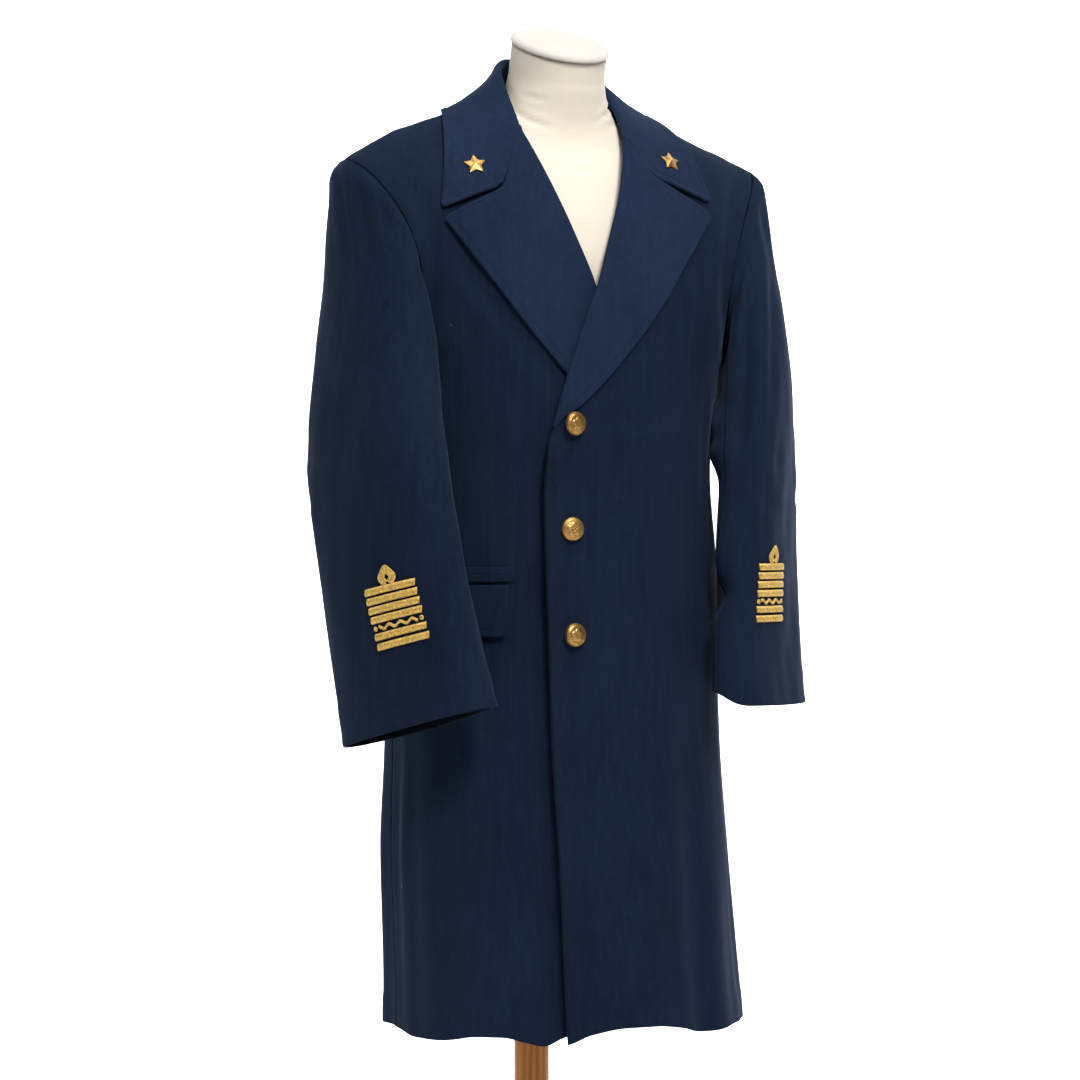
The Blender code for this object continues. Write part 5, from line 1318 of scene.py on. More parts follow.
def row_curve(xs, ys, x, k):
    """Shape-preserving cubic through each row's own points ys at one place x a row."""
    h = np.diff(xs)
    d = np.diff(ys, axis=1) / h[None, :, None]
    m = np.zeros_like(ys)
    m[:, 0], m[:, -1] = d[:, 0], d[:, -1]
    w1 = (2 * h[1:] + h[:-1])[None, :, None]
    w2 = (h[1:] + 2 * h[:-1])[None, :, None]
    a, b = d[:, :-1], d[:, 1:]
    sa, sb = np.where(a == 0, 1, a), np.where(b == 0, 1, b)
    m[:, 1:-1] = np.where(a * b > 0, (w1 + w2) / (w1 / sa + w2 / sb), 0.0)
    i = np.arange(len(x))
    t = np.clip((x - xs[k]) / h[k], 0, 1)[:, None]
    hh = h[k][:, None]
    return ((1 + 2 * t) * (1 - t) ** 2 * ys[i, k] + t * (1 - t) ** 2 * hh * m[i, k]
            + t * t * (3 - 2 * t) * ys[i, k + 1] + t * t * (t - 1) * hh * m[i, k + 1])


PANELS["collar"], COLLAR_P, COLLAR_N, COLLAR_D = collar()


# ------------------------------------------------------------------ sleeves
# creases: step down the sleeve, degrees round it and strength; half width, depth, lean
SLEEVE_CREASES = {
    "right": (
        # fullness below the seam at the top of the sleeve
        (((0.010, -4, 0.5), (0.075, 2, 1.0), (0.190, 6, 0.7), (0.270, 9, 0.0)), 0.0070, 0.0038, 0.2),
        (((0.010, 21, 0.6), (0.065, 25, 1.0), (0.160, 27, 0.8), (0.235, 27, 0.0)), 0.0075, 0.0044, -0.2),
        (((0.012, 44, 0.4), (0.090, 46, 0.8), (0.170, 46, 0.0)), 0.0075, 0.0028, 0.0),
        (((0.012, -30, 0.5), (0.080, -30, 0.9), (0.180, -28, 0.0)), 0.0080, 0.0032, 0.0),
        (((0.015, -62, 0.5), (0.090, -60, 0.8), (0.200, -58, 0.0)), 0.0085, 0.0024, 0.2),
        # front of the sleeve beside the chest
        (((0.18, 86, 0.0), (0.28, 88, 0.7), (0.42, 90, 0.8), (0.56, 92, 0.0)), 0.0110, -0.0018, 0.0),
        # elbow
        (((0.50, 96, 0.0), (0.545, 70, 0.8), (0.575, 44, 0.6), (0.590, 18, 0.0)), 0.0110, 0.0019, 0.2),
        (((0.600, 100, 0.0), (0.632, 76, 0.8), (0.652, 52, 0.0)), 0.0100, 0.0014, -0.2),
        (((0.470, -66, 0.0), (0.520, -50, 0.8), (0.548, -26, 0.0)), 0.0110, 0.0022, 0.0),
        (((0.60, -70, 0.0), (0.615, -48, 0.9), (0.625, -20, 0.0)), 0.0100, 0.0019, 0.2),
        # long soft pull down the outside
        (((0.26, 20, 0.0), (0.38, 14, 0.8), (0.50, 4, 0.8), (0.62, -6, 0.0)), 0.0150, 0.0016, 0.0),
        (((0.66, 52, 0.0), (0.80, 62, 0.7), (0.94, 70, 0.0)), 0.0140, 0.0012, 0.0),
        (((0.70, -20, 0.0), (0.84, -16, 0.8), (0.985, -14, 0.6)), 0.0140, 0.0012, 0.0),
        # inside, toward the body
        (((0.12, 150, 0.0), (0.20, 158, 0.9), (0.32, 168, 0.5), (0.44, 176, 0.0)), 0.0110, 0.0024, 0.0),
        (((0.46, 168, 0.0), (0.56, 186, 0.8), (0.60, 212, 0.0)), 0.0120, 0.0020, 0.0),
    ),
    "left": (
        (((0.010, 8, 0.5), (0.075, 12, 1.0), (0.190, 14, 0.6), (0.260, 16, 0.0)), 0.0075, 0.0034, 0.2),
        (((0.010, -22, 0.6), (0.080, -22, 1.0), (0.200, -20, 0.7), (0.270, -18, 0.0)), 0.0080, 0.0038, 0.0),
        (((0.010, 36, 0.4), (0.075, 40, 0.9), (0.180, 44, 0.0)), 0.0080, 0.0032, -0.1),
        (((0.015, -55, 0.5), (0.090, -54, 0.8), (0.210, -50, 0.0)), 0.0085, 0.0022, 0.2),
        # hollow beside the chest and the bright ridge outside it
        (((0.10, 66, 0.0), (0.19, 76, 0.9), (0.34, 90, 1.0), (0.48, 96, 0.7), (0.60, 92, 0.0)), 0.0120, 0.0058, 0.1),
        (((0.10, 46, 0.0), (0.21, 56, 0.8), (0.36, 68, 1.0), (0.50, 74, 1.0), (0.62, 68, 0.8), (0.73, 54, 0.0)), 0.0100, -0.0040, 0.1),
        (((0.30, 30, 0.0), (0.42, 34, 0.7), (0.56, 38, 0.6), (0.70, 34, 0.0)), 0.0120, 0.0016, 0.0),
        # elbow
        (((0.520, 62, 0.0), (0.548, 40, 0.8), (0.570, 14, 0.0)), 0.0100, 0.0016, 0.2),
        (((0.615, 66, 0.0), (0.640, 44, 0.9), (0.655, 18, 0.0)), 0.0100, 0.0017, -0.2),
        (((0.470, -60, 0.0), (0.520, -44, 0.8), (0.545, -20, 0.0)), 0.0110, 0.0022, 0.0),
        (((0.60, -64, 0.0), (0.612, -42, 0.9), (0.622, -12, 0.0)), 0.0100, 0.0018, 0.2),
        (((0.74, 66, 0.0), (0.84, 74, 0.8), (0.96, 80, 0.3)), 0.0120, 0.0014, 0.0),
        (((0.72, -16, 0.0), (0.86, -12, 0.8), (0.985, -10, 0.6)), 0.0140, 0.0012, 0.0),
        (((0.12, 150, 0.0), (0.20, 160, 0.9), (0.34, 170, 0.5), (0.46, 178, 0.0)), 0.0110, 0.0024, 0.0),
        (((0.48, 166, 0.0), (0.57, 184, 0.8), (0.61, 210, 0.0)), 0.0120, 0.0020, 0.0),
    ),
}
# the cuff edge lifts toward the body: degrees round the sleeve, from its inside (0), and height
BULGE_DEG = 150.0
CUFF_RISE = {
    "right": ((0.0, 0.0), (110.0, 0.0), (150.0, 0.0012), (200.0, 0.0030), (275.0, 0.0032), (300.0, 0.0045), (330.0, 0.0025), (360.0, 0.0)),
    "left": ((0.0, 0.010), (60.0, 0.002), (120.0, 0.0), (200.0, -0.0015), (235.0, -0.0015), (255.0, 0.0015), (270.0, 0.0060),
             (288.0, 0.0110), (305.0, 0.0130), (335.0, 0.0130), (360.0, 0.010)),
}
SLEEVE_RIPPLE = ripple((0.0005, 0.120, 0.21, 0.7), (0.00035, 0.057, -0.19, 2.9), (0.0002, 0.031, 0.11, 1.3))


def sleeve_height(side, step, al, p, nrm):
    """How far the sleeve's surface stands out from its plain form."""
    h = np.zeros(p.shape[:-1])
    for pts, wide, deep, lean in SLEEVE_CREASES[side]:
        q = smooth_line([(a, math.radians(b)) for a, b, _ in pts])
        line = sleeve(q[:, 0], q[:, 1], side)
        h = h + crease(p, nrm, line, [k for _, _, k in pts], wide, deep, lean)
    if side == "left":
        # the sleeve swells toward the body above the elbow
        turn = np.degrees(al) % 360.0 - BULGE_DEG
        h = h + (0.0050 * np.exp(-((step - 0.455) / 0.065) ** 2) + 0.0085 * np.exp(-((step - 0.535) / 0.040) ** 2)) * np.exp(-(turn / 34.0) ** 2)
        h = h + 0.0072 * np.exp(-((step - 0.360) / 0.055) ** 2) * np.exp(-((turn - 36.0) / 32.0) ** 2)
        # and gives way beside the raised edge of the pocket flap
        h = h - 0.0120 * np.exp(-((step - 0.808) / 0.031) ** 2) * np.exp(-((turn + 18.0) / 42.0) ** 4)
    return h + SLEEVE_RIPPLE(al * 0.085, step * 0.55)


def sleeve_piece(side, part):
    a0, a1 = (math.radians(d) for d in UPPER_SLEEVE_DEG)
    gap = 0.0026
    lo, hi = (a0 + gap, a1 - gap) if part == "upper" else (a1 + gap, a0 + 2 * math.pi - gap)
    ra, rf = marks(lip_marks(SEAM_R, 0.0040, 0.0065, 0.0090), stitchless(0.0105) , 98)
    ab = marks(lip_marks(SEAM_R, 0.0040), lip_marks(SEAM_R, 0.0040), 62 if part == "upper" else 34)
    # steps by the length along the middle of the piece
    am = 0.5 * (lo + hi)
    st_dense = np.linspace(0, 1, 400)
    mid_run = run_length(sleeve(st_dense, np.full(400, am), side)[None])[0]
    length_v = mid_run[-1]
    v = ra + rf * length_v
    st = np.interp(v, mid_run, st_dense)
    dense = np.linspace(lo, hi, 160)
    run = run_length(sleeve(st[:, None], dense[None, :], side))
    length = run[:, -1]
    pos, k = places(ab, length)
    al = pick(run, np.broadcast_to(dense, run.shape), pos)
    stg = np.broadcast_to(st[:, None], al.shape)
    p = sleeve(stg, al, side)
    toward = sleeve(stg, al, side, 0.01) - p
    nrm = face_out(p, toward)
    d_l, d_r = pos / k, (length[:, None] - pos) / k
    d_top = np.broadcast_to(v[:, None], al.shape)
    d_cuff = length_v - d_top
    free = ease(0.0, 0.025, d_top)
    h = sleeve_height(side, stg, al, p, nrm) * (0.35 + 0.65 * free)
    # the sleeve's head stands a little proud of its seam
    outside = ease(-0.35, 0.45, np.cos(al))
    h = h + 0.0021 * outside * np.exp(-((d_top - 0.0125) / 0.0095) ** 2)
    h = h + seam_level(d_top, 0.0)
    for d in (d_l, d_r):
        h = h + seam_level(d, 0.0005) + 0.0003 * np.exp(-((d - 0.0075) / 0.004) ** 2)
    # pressed fold of the cuff
    h = h + 0.0009 * np.exp(-((d_cuff - 0.0035) / 0.006) ** 2)
    inner = 1 - ease(-0.9, -0.2, np.cos(al))
    near_body = inner * (1 - ease(0.10, 0.30, stg))
    h = np.where(h > 0, h * (1 - 0.85 * near_body), h)
    p = p + nrm * h[..., None]
    deg = (np.degrees(al) + 180.0) % 360.0
    p[..., 2] += rows(CUFF_RISE[side], deg)[..., 0] * ease(0.84, 1.0, stg)
    half = wall_half((d_l, d_r, d_top, d_cuff), (SEAM_R, SEAM_R, SEAM_R, LIP + 0.0002), CLOTH_T / 2, 0.046)
    ob = shell("coat_sleeve_" + side + "_" + part, world(p, side), half, world(toward, side), WOOL, shade_inside=True)
    return finish_piece(ob, ["sleeve_" + side + "_" + part])


def stitchless(last):
    return lip_marks(LIP + 0.0002, 0.0050, last)


for SIDE in ("left", "right"):
    for PART in ("upper", "under"):
        PANELS["sleeve_" + SIDE + "_" + PART] = sleeve_piece(SIDE, PART)


def on_sleeve(side, step, al, out):
    """Point on the finished, creased sleeve, moved out along its surface."""
    e = 0.004
    p = sleeve(step, al, side)
    toward = sleeve(step, al, side, 0.01) - p
    a = sleeve(np.minimum(step + e, 1), al, side) - sleeve(step - e, al, side)
    b = sleeve(step, al + e, side) - sleeve(step, al - e, side)
    n = unit(np.cross(a, b))
    n = np.where((n * toward).sum(-1)[..., None] < 0, -n, n)
    h = sleeve_height(side, step, al, p, n)
    return p + n * (h + out)[..., None]


# ------------------------------------------------------------------ pockets
def flap(side):
    row = POCKET[side]
    lo = lip_marks(LIP) + stitch_marks(0.0072)
    hi = lip_marks(LIP) + stitch_marks(0.0072)
    ra, rf = marks(lip_marks(0.0013, 0.0035), hi, 14)
    ab = marks(lo, hi, 30)
    v = ra + rf * FLAP_H
    # length across at each height, from its start on the front to its end
    kk = v / FLAP_H
    z = FLAP_TOP_Z + row["up"] - v
    lv0, u0 = front_uv(row["front_x"] + (0.0060 if side == "left" else 0.0080 + 0.0030 * kk), z, side)
    s_end = row["end"] - 0.012
    dense = np.linspace(0, 1, 80)
    ss = u0[:, None] + (s_end - u0)[:, None] * dense
    lg = np.broadcast_to(lv0[:, None], ss.shape)
    run = run_length(around(lg, ss, side, np.zeros_like(ss)))
    length = run[:, -1]
    pos, k = places(ab, length)
    d_front, d_rear = pos / k, (length[:, None] - pos) / k
    d_low = np.broadcast_to((FLAP_H - v)[:, None], pos.shape)
    a2, b2 = round_corner(d_low, d_front, 0.0065)
    a3, b3 = round_corner(d_low, d_rear, 0.0065)
    near_front = d_front < d_rear
    low2 = np.where(near_front, a2, a3)
    pos2 = np.where(near_front, b2 * k, length[:, None] - b3 * k)
    v2 = FLAP_H - low2
    kk2 = v2 / FLAP_H
    # back to places on the coat
    s = pick(run, ss, pos2)
    z2 = FLAP_TOP_Z + row["up"] - v2
    lv = np.interp(-z2, -z, lv0)
    frac = np.clip(pos2 / length[:, None], 0, 1)
    off = kk2 ** 1.15 * (row["off_front"] + (row["off_rear"] - row["off_front"]) * frac)
    out = CLOTH_T / 2 + TURNED_T / 2 + 0.0010 + off + 0.0010 * np.sin(math.pi * kk2) * np.sin(math.pi * frac)
    p = around(lv, s, side, out)
    p[..., 2] += off * off / (2 * FLAP_H) * 1.2
    toward = around(lv, s, side, out + 0.01) - p
    half = wall_half((d_front, d_rear, np.broadcast_to(v[:, None], pos.shape), d_low), (LIP, LIP, 0.0013, LIP), 0.0014, 0.013)
    extra = np.minimum(np.minimum(stitch_dip(d_front, 0.0072), stitch_dip(d_rear, 0.0072)), stitch_dip(d_low, 0.0072))
    ob = shell("coat_flap_" + side, world(p, side), half, world(toward, side), WOOL, extra)
    return finish_piece(ob, ["pocket_flap_" + side])


def band(side):
    row = POCKET[side]
    tall = BAND_Z[1] - BAND_Z[0]
    ra, rf = marks(lip_marks(0.0012, 0.0034), lip_marks(0.0012, 0.0034), 9)
    ab = marks(lip_marks(0.0012) + [0.0040], lip_marks(0.0012) + [0.0040], 44)
    v = ra + rf * tall
    z = BAND_Z[1] + row["up"] - v
    lv0, u0 = front_uv(np.full(len(z), row["front_x"]), z, side)
    dense = np.linspace(0, 1, 80)
    ss = u0[:, None] + (row["end"] - u0)[:, None] * dense
    lg = np.broadcast_to(lv0[:, None], ss.shape)
    run = run_length(around(lg, ss, side, np.zeros_like(ss)))
    length = run[:, -1]
    pos, k = places(ab, length)
    d_front, d_rear = pos / k, (length[:, None] - pos) / k
    d_up = np.broadcast_to(v[:, None], pos.shape)
    d_low = tall - d_up
    near_front = d_front < d_rear
    d_end = np.where(near_front, d_front, d_rear)
    a1, b1 = round_corner(d_up, d_end, 0.0060)
    a2, b2 = round_corner(d_low, d_end, 0.0060)
    upper = d_up < d_low
    v2 = np.where(upper, a1, tall - a2)
    e2 = np.where(upper, b1, b2)
    pos2 = np.where(near_front, e2 * k, length[:, None] - e2 * k)
    s = pick(run, ss, pos2)
    lv = np.interp(-(BAND_Z[1] + row["up"] - v2), -z, lv0)
    out = np.full(s.shape, CLOTH_T / 2 + 0.0012 + SEAM_GAP * 2)
    # pressed crown to each half of the band, with its stitched line between
    mid = np.exp(-((v2 - tall / 2) / 0.0010) ** 2)
    p = around(lv, s, side, out)
    toward = around(lv, s, side, out + 0.01) - p
    half = wall_half((d_front, d_rear, d_up, d_low), (0.0012, 0.0012, 0.0012, 0.0012), 0.0012)
    extra = 0.0005 * np.sin(math.pi * np.clip(v2 / tall, 0, 1)) ** 2 - 0.0006 * mid
    extra = extra * ease(0.0, 0.002, np.minimum(np.minimum(d_front, d_rear), np.minimum(d_up, d_low)))
    ob = shell("coat_band_" + side, world(p, side), half, world(toward, side), WOOL, extra)
    return finish_piece(ob, ["pocket_band_" + side])


for SIDE in ("left", "right"):
    PANELS["flap_" + SIDE] = flap(SIDE)
    PANELS["band_" + SIDE] = band(SIDE)


# ------------------------------------------------------------------ buttons
def placed(point, normal, up=(0, 0, 1)):
    """Matrix with local Z along the normal and local Y near up."""
    n = Vector(normal).normalized()
    y = (Vector(up) - n * Vector(up).dot(n)).normalized()
    x = y.cross(n).normalized()
    m = Matrix((x, y, n)).transposed().to_4x4()
    m.translation = Vector(point)
    return m


def polar(name, radii, heights, back, mat, matrix, n):
    """A turned solid with relief: heights(r, a) on top of rings of radii, then a plain back."""
    a = np.linspace(0, 2 * math.pi, n, endpoint=False)
    rings = [np.stack([r * np.cos(a), r * np.sin(a), heights(np.full(n, r), a)], -1) for r in radii]
    rings += [np.stack([r * np.cos(a), r * np.sin(a), np.full(n, h)], -1) for r, h in back]
    v = [(0.0, 0.0, float(heights(np.zeros(1), np.zeros(1))[0]))]
    for r in rings:
        v += [tuple(q) for q in r]
    v.append((0.0, 0.0, float(back[-1][1])))
    f = [(0, 1 + i, 1 + (i + 1) % n) for i in range(n)]
    for k in range(len(rings) - 1):
        b = 1 + k * n
        f += [(b + i, b + n + i, b + n + (i + 1) % n, b + (i + 1) % n) for i in range(n)]
    b = 1 + (len(rings) - 1) * n
    f += [(len(v) - 1, b + (i + 1) % n, b + i) for i in range(n)]
    ob = poly_piece(name, [matrix @ Vector(q) for q in v], f, mat)
    return ob


def button_height(r, a):
    """Domed face, a plain raised flower of five petals, a cord border and a rolled rim."""
    x = r / BUTTON_R
    dome = 0.0030 + (BUTTON_H - 0.0036) * np.sqrt(np.clip(1 - (x / 0.985) ** 2, 0, 1)) ** 0.85
    petal = 0.36 + 0.17 * np.abs(np.cos(2.5 * (a - math.pi / 2)))
    flower = 0.00055 * (1 - ease(petal - 0.05, petal + 0.04, x)) - 0.00045 * np.exp(-((x - 0.13) / 0.035) ** 2)
    vein = -0.00030 * np.exp(-(np.sin(2.5 * (a - math.pi / 2)) * x / 0.045) ** 2) * ease(0.16, 0.24, x) * (1 - ease(0.40, 0.50, x))
    cord = 0.00042 * np.exp(-((x - 0.76) / 0.045) ** 2) * (0.70 + 0.30 * np.cos(34 * a + 40 * (x - 0.76)))
    rim = 0.0007 * np.exp(-((x - 0.925) / 0.035) ** 2)
    return dome + flower + vein + cord + rim


BUTTON_RADII = [BUTTON_R * x for x in (0.03, 0.06, 0.09, 0.12, 0.15, 0.18, 0.22, 0.26, 0.30, 0.34, 0.38, 0.42, 0.46, 0.50, 0.54,
                                       0.58, 0.62, 0.66, 0.70, 0.73, 0.76, 0.79, 0.82, 0.85, 0.88, 0.91, 0.94, 0.965, 0.985)]
BUTTON_BACK = [(BUTTON_R, 0.0027), (BUTTON_R, 0.0019), (0.0122, 0.0012), (0.0118, 0.0010), (0.0031, 0.0010), (0.0030, 0.0008), (0.0030, 0.0)]
BUTTON_TURN = {"top": (0.0040, 20.0), "middle": (0.0, 0.0), "bottom": (0.0034, 16.0)}
for NAME, Z in BUTTON_Z.items():
    lv, u = front_uv(BUTTON_X, Z, "left")
    point = world(front(lv, u, "left", CLOTH_T / 2 + SEAM_GAP + 0.0002), "left")
    normal = world(coat_normal(lv, u, "left"), "left")
    # each hangs on its shank, turned a little its own way
    lift, turned = BUTTON_TURN[NAME]
    m = placed(point + unit(normal) * lift, normal) @ Matrix.Rotation(math.radians(turned), 4, "Y")
    b = polar("gilt_button_" + NAME, BUTTON_RADII, button_height, BUTTON_BACK[:-1] + [(0.0030, -lift)], GILT, m, 120)
    finish_piece(b, ["button_" + NAME])


# ------------------------------------------------------------------ collar stars
def star(name, matrix):
    """Five-pointed stamped star with a ridge along every arm."""
    tips, ins = 5, 0.54
    v, f = [], []
    rim_r = [STAR_R if i % 2 == 0 else STAR_R * ins for i in range(10)]
    ang = [math.pi / 2 + i * math.pi / 5 for i in range(10)]

    def ring(scale, z, drop=0.0):
        b = len(v)
        for r, a in zip(rim_r, ang):
            v.append((r * scale * math.cos(a), r * scale * math.sin(a), z))
        return b

    back, edge, shoulder = ring(1.0, -0.0009), ring(1.0, 0.0002), ring(0.955, 0.0006)
    c = len(v)
    v.append((0, 0, 0.0026))
    cb = len(v)
    v.append((0, 0, -0.0009))
    for i in range(10):
        j = (i + 1) % 10
        f.append((back + i, back + j, edge + j, edge + i))
        f.append((edge + i, edge + j, shoulder + j, shoulder + i))
        f.append((shoulder + i, shoulder + j, c))
        f.append((back + j, back + i, cb))
    return poly_piece(name, [matrix @ Vector(q) for q in v], f, GILT, False)


for SIDE in ("left", "right"):
    sgn = 1.0 if SIDE == "left" else -1.0
    d = np.hypot(COLLAR_P[..., 0] * sgn - STAR_AT[SIDE][0], COLLAR_P[..., 2] - STAR_AT[SIDE][1]) + np.where(COLLAR_D > 0.10, 1.0, 0.0)
    i, j = np.unravel_index(int(np.argmin(d)), d.shape)
    n = unit(COLLAR_N[i - 2:i + 3, j - 2:j + 3].mean((0, 1)))
    at = COLLAR_P[i, j] + n * (0.0014 + 0.0013)
    m = placed(at * np.array([1, -1.0, 1]), n * np.array([1, -1.0, 1]))
    m = m @ Matrix.Rotation(math.radians(6.0 if SIDE == "right" else -10.0), 4, "Z")
    s = star("gilt_star_" + SIDE, m)
    be = s.modifiers.new("edges", "BEVEL")
    be.width = 0.00022
    be.segments = 2
    be.limit_method = "ANGLE"
    be.angle_limit = math.radians(18)
    finish_piece(s, ["collar_star_" + SIDE])


# ------------------------------------------------------------------ sleeve rank
def rank_points(side, across, up, out):
    """Places on the sleeve: across forward from the rank's middle line, up from the lowest bar."""
    a_mid = math.radians(RANK_MID_DEG[side])
    up = up + RANK_FROM_CUFF[side] + across * RANK_TILT[side]
    steps = np.linspace(1.0, 0.60, 120)
    line = sleeve(steps, np.full(120, a_mid), side, RANK_BASE)
    run = run_length(line[None])[0]
    st = np.interp(up, run, steps)
    flat_st = st.ravel()
    al = np.linspace(a_mid - 1.1, a_mid + 1.1, 81)
    ring = sleeve(flat_st[:, None], al[None, :], side, RANK_BASE)
    arc = run_length(ring)
    arc = arc - arc[:, 40:41]
    aa = np.array([np.interp(x, r, al) for x, r in zip(across.ravel(), arc)]).reshape(st.shape)
    return on_sleeve(side, st, aa, out)


RANK_BASE = CLOTH_T / 2 + SEAM_GAP + 0.0009


def rank_strip(name, node, side, centre, half_tall, x0, x1, tall, thread, slant=0.0, taper=0.0012):
    """A padded strip of laid thread: centre(x) is its middle line, half_tall(x) half its height."""
    nx = max(int((x1 - x0) / thread * 5), 24)
    x = np.linspace(x0, x1, nx)
    y = np.linspace(-1, 1, 9)
    end = np.minimum(x - x0, x1 - x)
    shape_end = np.sqrt(np.clip(1 - (1 - np.clip(end / taper, 0, 1)) ** 2, 0, 1))
    cover = np.sqrt(np.clip(1 - y * y, 0, 1))
    X, Y = np.meshgrid(x, y, indexing="xy")
    up = centre(X) + half_tall(X) * Y
    across = X + slant * Y
    ridge = 0.5 + 0.5 * np.cos(2 * math.pi * X / thread)
    h = tall * (0.20 + 0.80 * cover[:, None]) * (0.80 + 0.20 * ridge)
    p = rank_points(side, across, up, np.full(X.shape, CLOTH_T / 2 + 0.0007))
    toward = p - rank_points(side, across, up, np.full(X.shape, -0.01))
    n = face_out(p, toward)
    rim = cover[:, None] * shape_end[None, :]
    half = h * 0.5 * np.where(rim > 0, 1.0, 0.0)
    half[0], half[-1], half[:, 0], half[:, -1] = 0, 0, 0, 0
    half = half * np.clip(rim * 1.6, 0, 1)
    p = p + n * (h * 0.5 * np.clip(rim * 1.6, 0, 1))[..., None]
    ob = shell(name, world(p, side), half, world(toward, side), BRAID)
    return finish_piece(ob, node)


def bar_middle(up, tall, side):
    return lambda x: up + tall / 2 + 0.0 * x


RANK_ROWS = (           # name, up from the lowest bar, height of the row
    ("bar_6", 0.0000, 0.0075), ("bar_5", 0.0105, 0.0075), ("bar_4", 0.0285, 0.0077),
    ("bar_3", 0.0385, 0.0077), ("bar_2", 0.0485, 0.0077), ("bar_1", 0.0585, 0.0077),
)


def joined(name, parts, node):
    """Several thread strips of one ornament made one piece."""
    vs, fs = [], []
    for ob in parts:
        me = ob.data
        base = len(vs)
        co = np.zeros(len(me.vertices) * 3)
        me.vertices.foreach_get("co", co)
        vs += [tuple(q) for q in co.reshape(-1, 3)]
        fs += [tuple(base + i for i in p.vertices) for p in me.polygons]
        bpy.data.objects.remove(ob, do_unlink=True)
    ob = poly_piece(name, vs, fs, BRAID)
    return finish_piece(ob, node)


def closed_strip(name, side, cx, cy, rx, ry, wide, tall, thread, power=2.0, a0=0.0, a1=2 * math.pi):
    """A strip of thread along an arc or ring of the given size on the sleeve."""
    full = abs(a1 - a0 - 2 * math.pi) < 1e-6
    peri = (rx + ry) * 0.5 * abs(a1 - a0)
    n = max(int(peri / thread * 5), 40)
    a = np.linspace(a0, a1, n, endpoint=not full)
    r = 1.0 / (np.abs(np.cos(a)) ** power + np.abs(np.sin(a)) ** power) ** (1.0 / power)
    x, y = cx + rx * r * np.cos(a), cy + ry * r * np.sin(a)
    tx, ty = np.gradient(x), np.gradient(y)
    if full:
        tx = (np.roll(x, -1) - np.roll(x, 1))
        ty = (np.roll(y, -1) - np.roll(y, 1))
    ln = np.hypot(tx, ty)
    nx_, ny_ = ty / ln, -tx / ln
    m = 10
    b = np.linspace(0, 2 * math.pi, m, endpoint=False)
    ridge = 0.5 + 0.5 * np.cos(2 * math.pi * np.arange(n) / 5.0)
    A, B = np.meshgrid(np.arange(n), b, indexing="ij")
    off = np.cos(B) * wide / 2
    up_ = (0.55 + 0.45 * np.sin(B)) * tall * (0.80 + 0.20 * ridge[:, None])
    X = x[:, None] + nx_[:, None] * off
    Y = y[:, None] + ny_[:, None] * off
    p = world(rank_points(side, X, Y, CLOTH_T / 2 + 0.0006 + up_), side)
    idx = np.arange(n * m).reshape(n, m)
    nxt = np.roll(idx, -1, axis=0) if full else idx[1:]
    cur = idx if full else idx[:-1]
    q = np.stack([cur, nxt, np.roll(nxt, -1, axis=1), np.roll(cur, -1, axis=1)], -1).reshape(-1, 4)
    faces = [tuple(t) for t in q]
    if not full:
        faces.append(tuple(idx[0]))
        faces.append(tuple(idx[-1][::-1]))
    ob = poly_piece(name, p.reshape(-1, 3), faces, BRAID)
    bm = bmesh.new()
    bm.from_mesh(ob.data)
    bmesh.ops.recalc_face_normals(bm, faces=bm.faces)
    bm.to_mesh(ob.data)
    bm.free()
    return ob


for SIDE in ("left", "right"):
    W = RANK_W[SIDE]
    for NAME, UP, TALL in RANK_ROWS:
        rank_strip("thread_" + SIDE + "_" + NAME, ["rank_" + SIDE + "_" + NAME], SIDE, bar_middle(UP, TALL, SIDE),
                   lambda x, t=TALL: t / 2 * 1.06 + 0.0 * x, -W / 2, W / 2, 0.0025, 0.00115, slant=0.0011)
    # scroll row: a running wave with a round dot at each end
    mid_y = 0.0231
    wave_parts = [rank_strip("w0", [], SIDE, lambda x: mid_y + 0.0018 * np.sin(x * 430.0),
                             lambda x: 0.00175 + 0.0 * x, -W * 0.38, W * 0.38, 0.0017, 0.0010, slant=0.0004)]
    for K, SX in enumerate((-W * 0.455, W * 0.455)):
        wave_parts.append(closed_strip("w%d" % (K + 1), SIDE, SX, mid_y, 0.0015, 0.0017, 0.0022, 0.0014, 0.0009))
    joined("thread_" + SIDE + "_scroll", wave_parts, ["rank_" + SIDE + "_wave"])
    # pointed loop with its hole, above the bars
    loop_parts = [closed_strip("l0", SIDE, 0.0, 0.0738, 0.0083, 0.0092, 0.0084, 0.0019, 0.0010, 1.12, -1.15, math.pi + 1.15)]
    joined("thread_" + SIDE + "_loop", loop_parts, ["rank_" + SIDE + "_loop"])


# ------------------------------------------------------------------ dress form and stand
def neck_ring(z, a):
    """Elliptical neck, leaning forward a little as it rises."""
    mid = 0.062 + (CAP_MID[0] - 0.062) * (z - 1.470) / (CAP_MID[1] - 1.470)
    return np.stack([NECK_A * np.sin(a), mid + NECK_B * np.cos(a), z + 0 * a], -1)


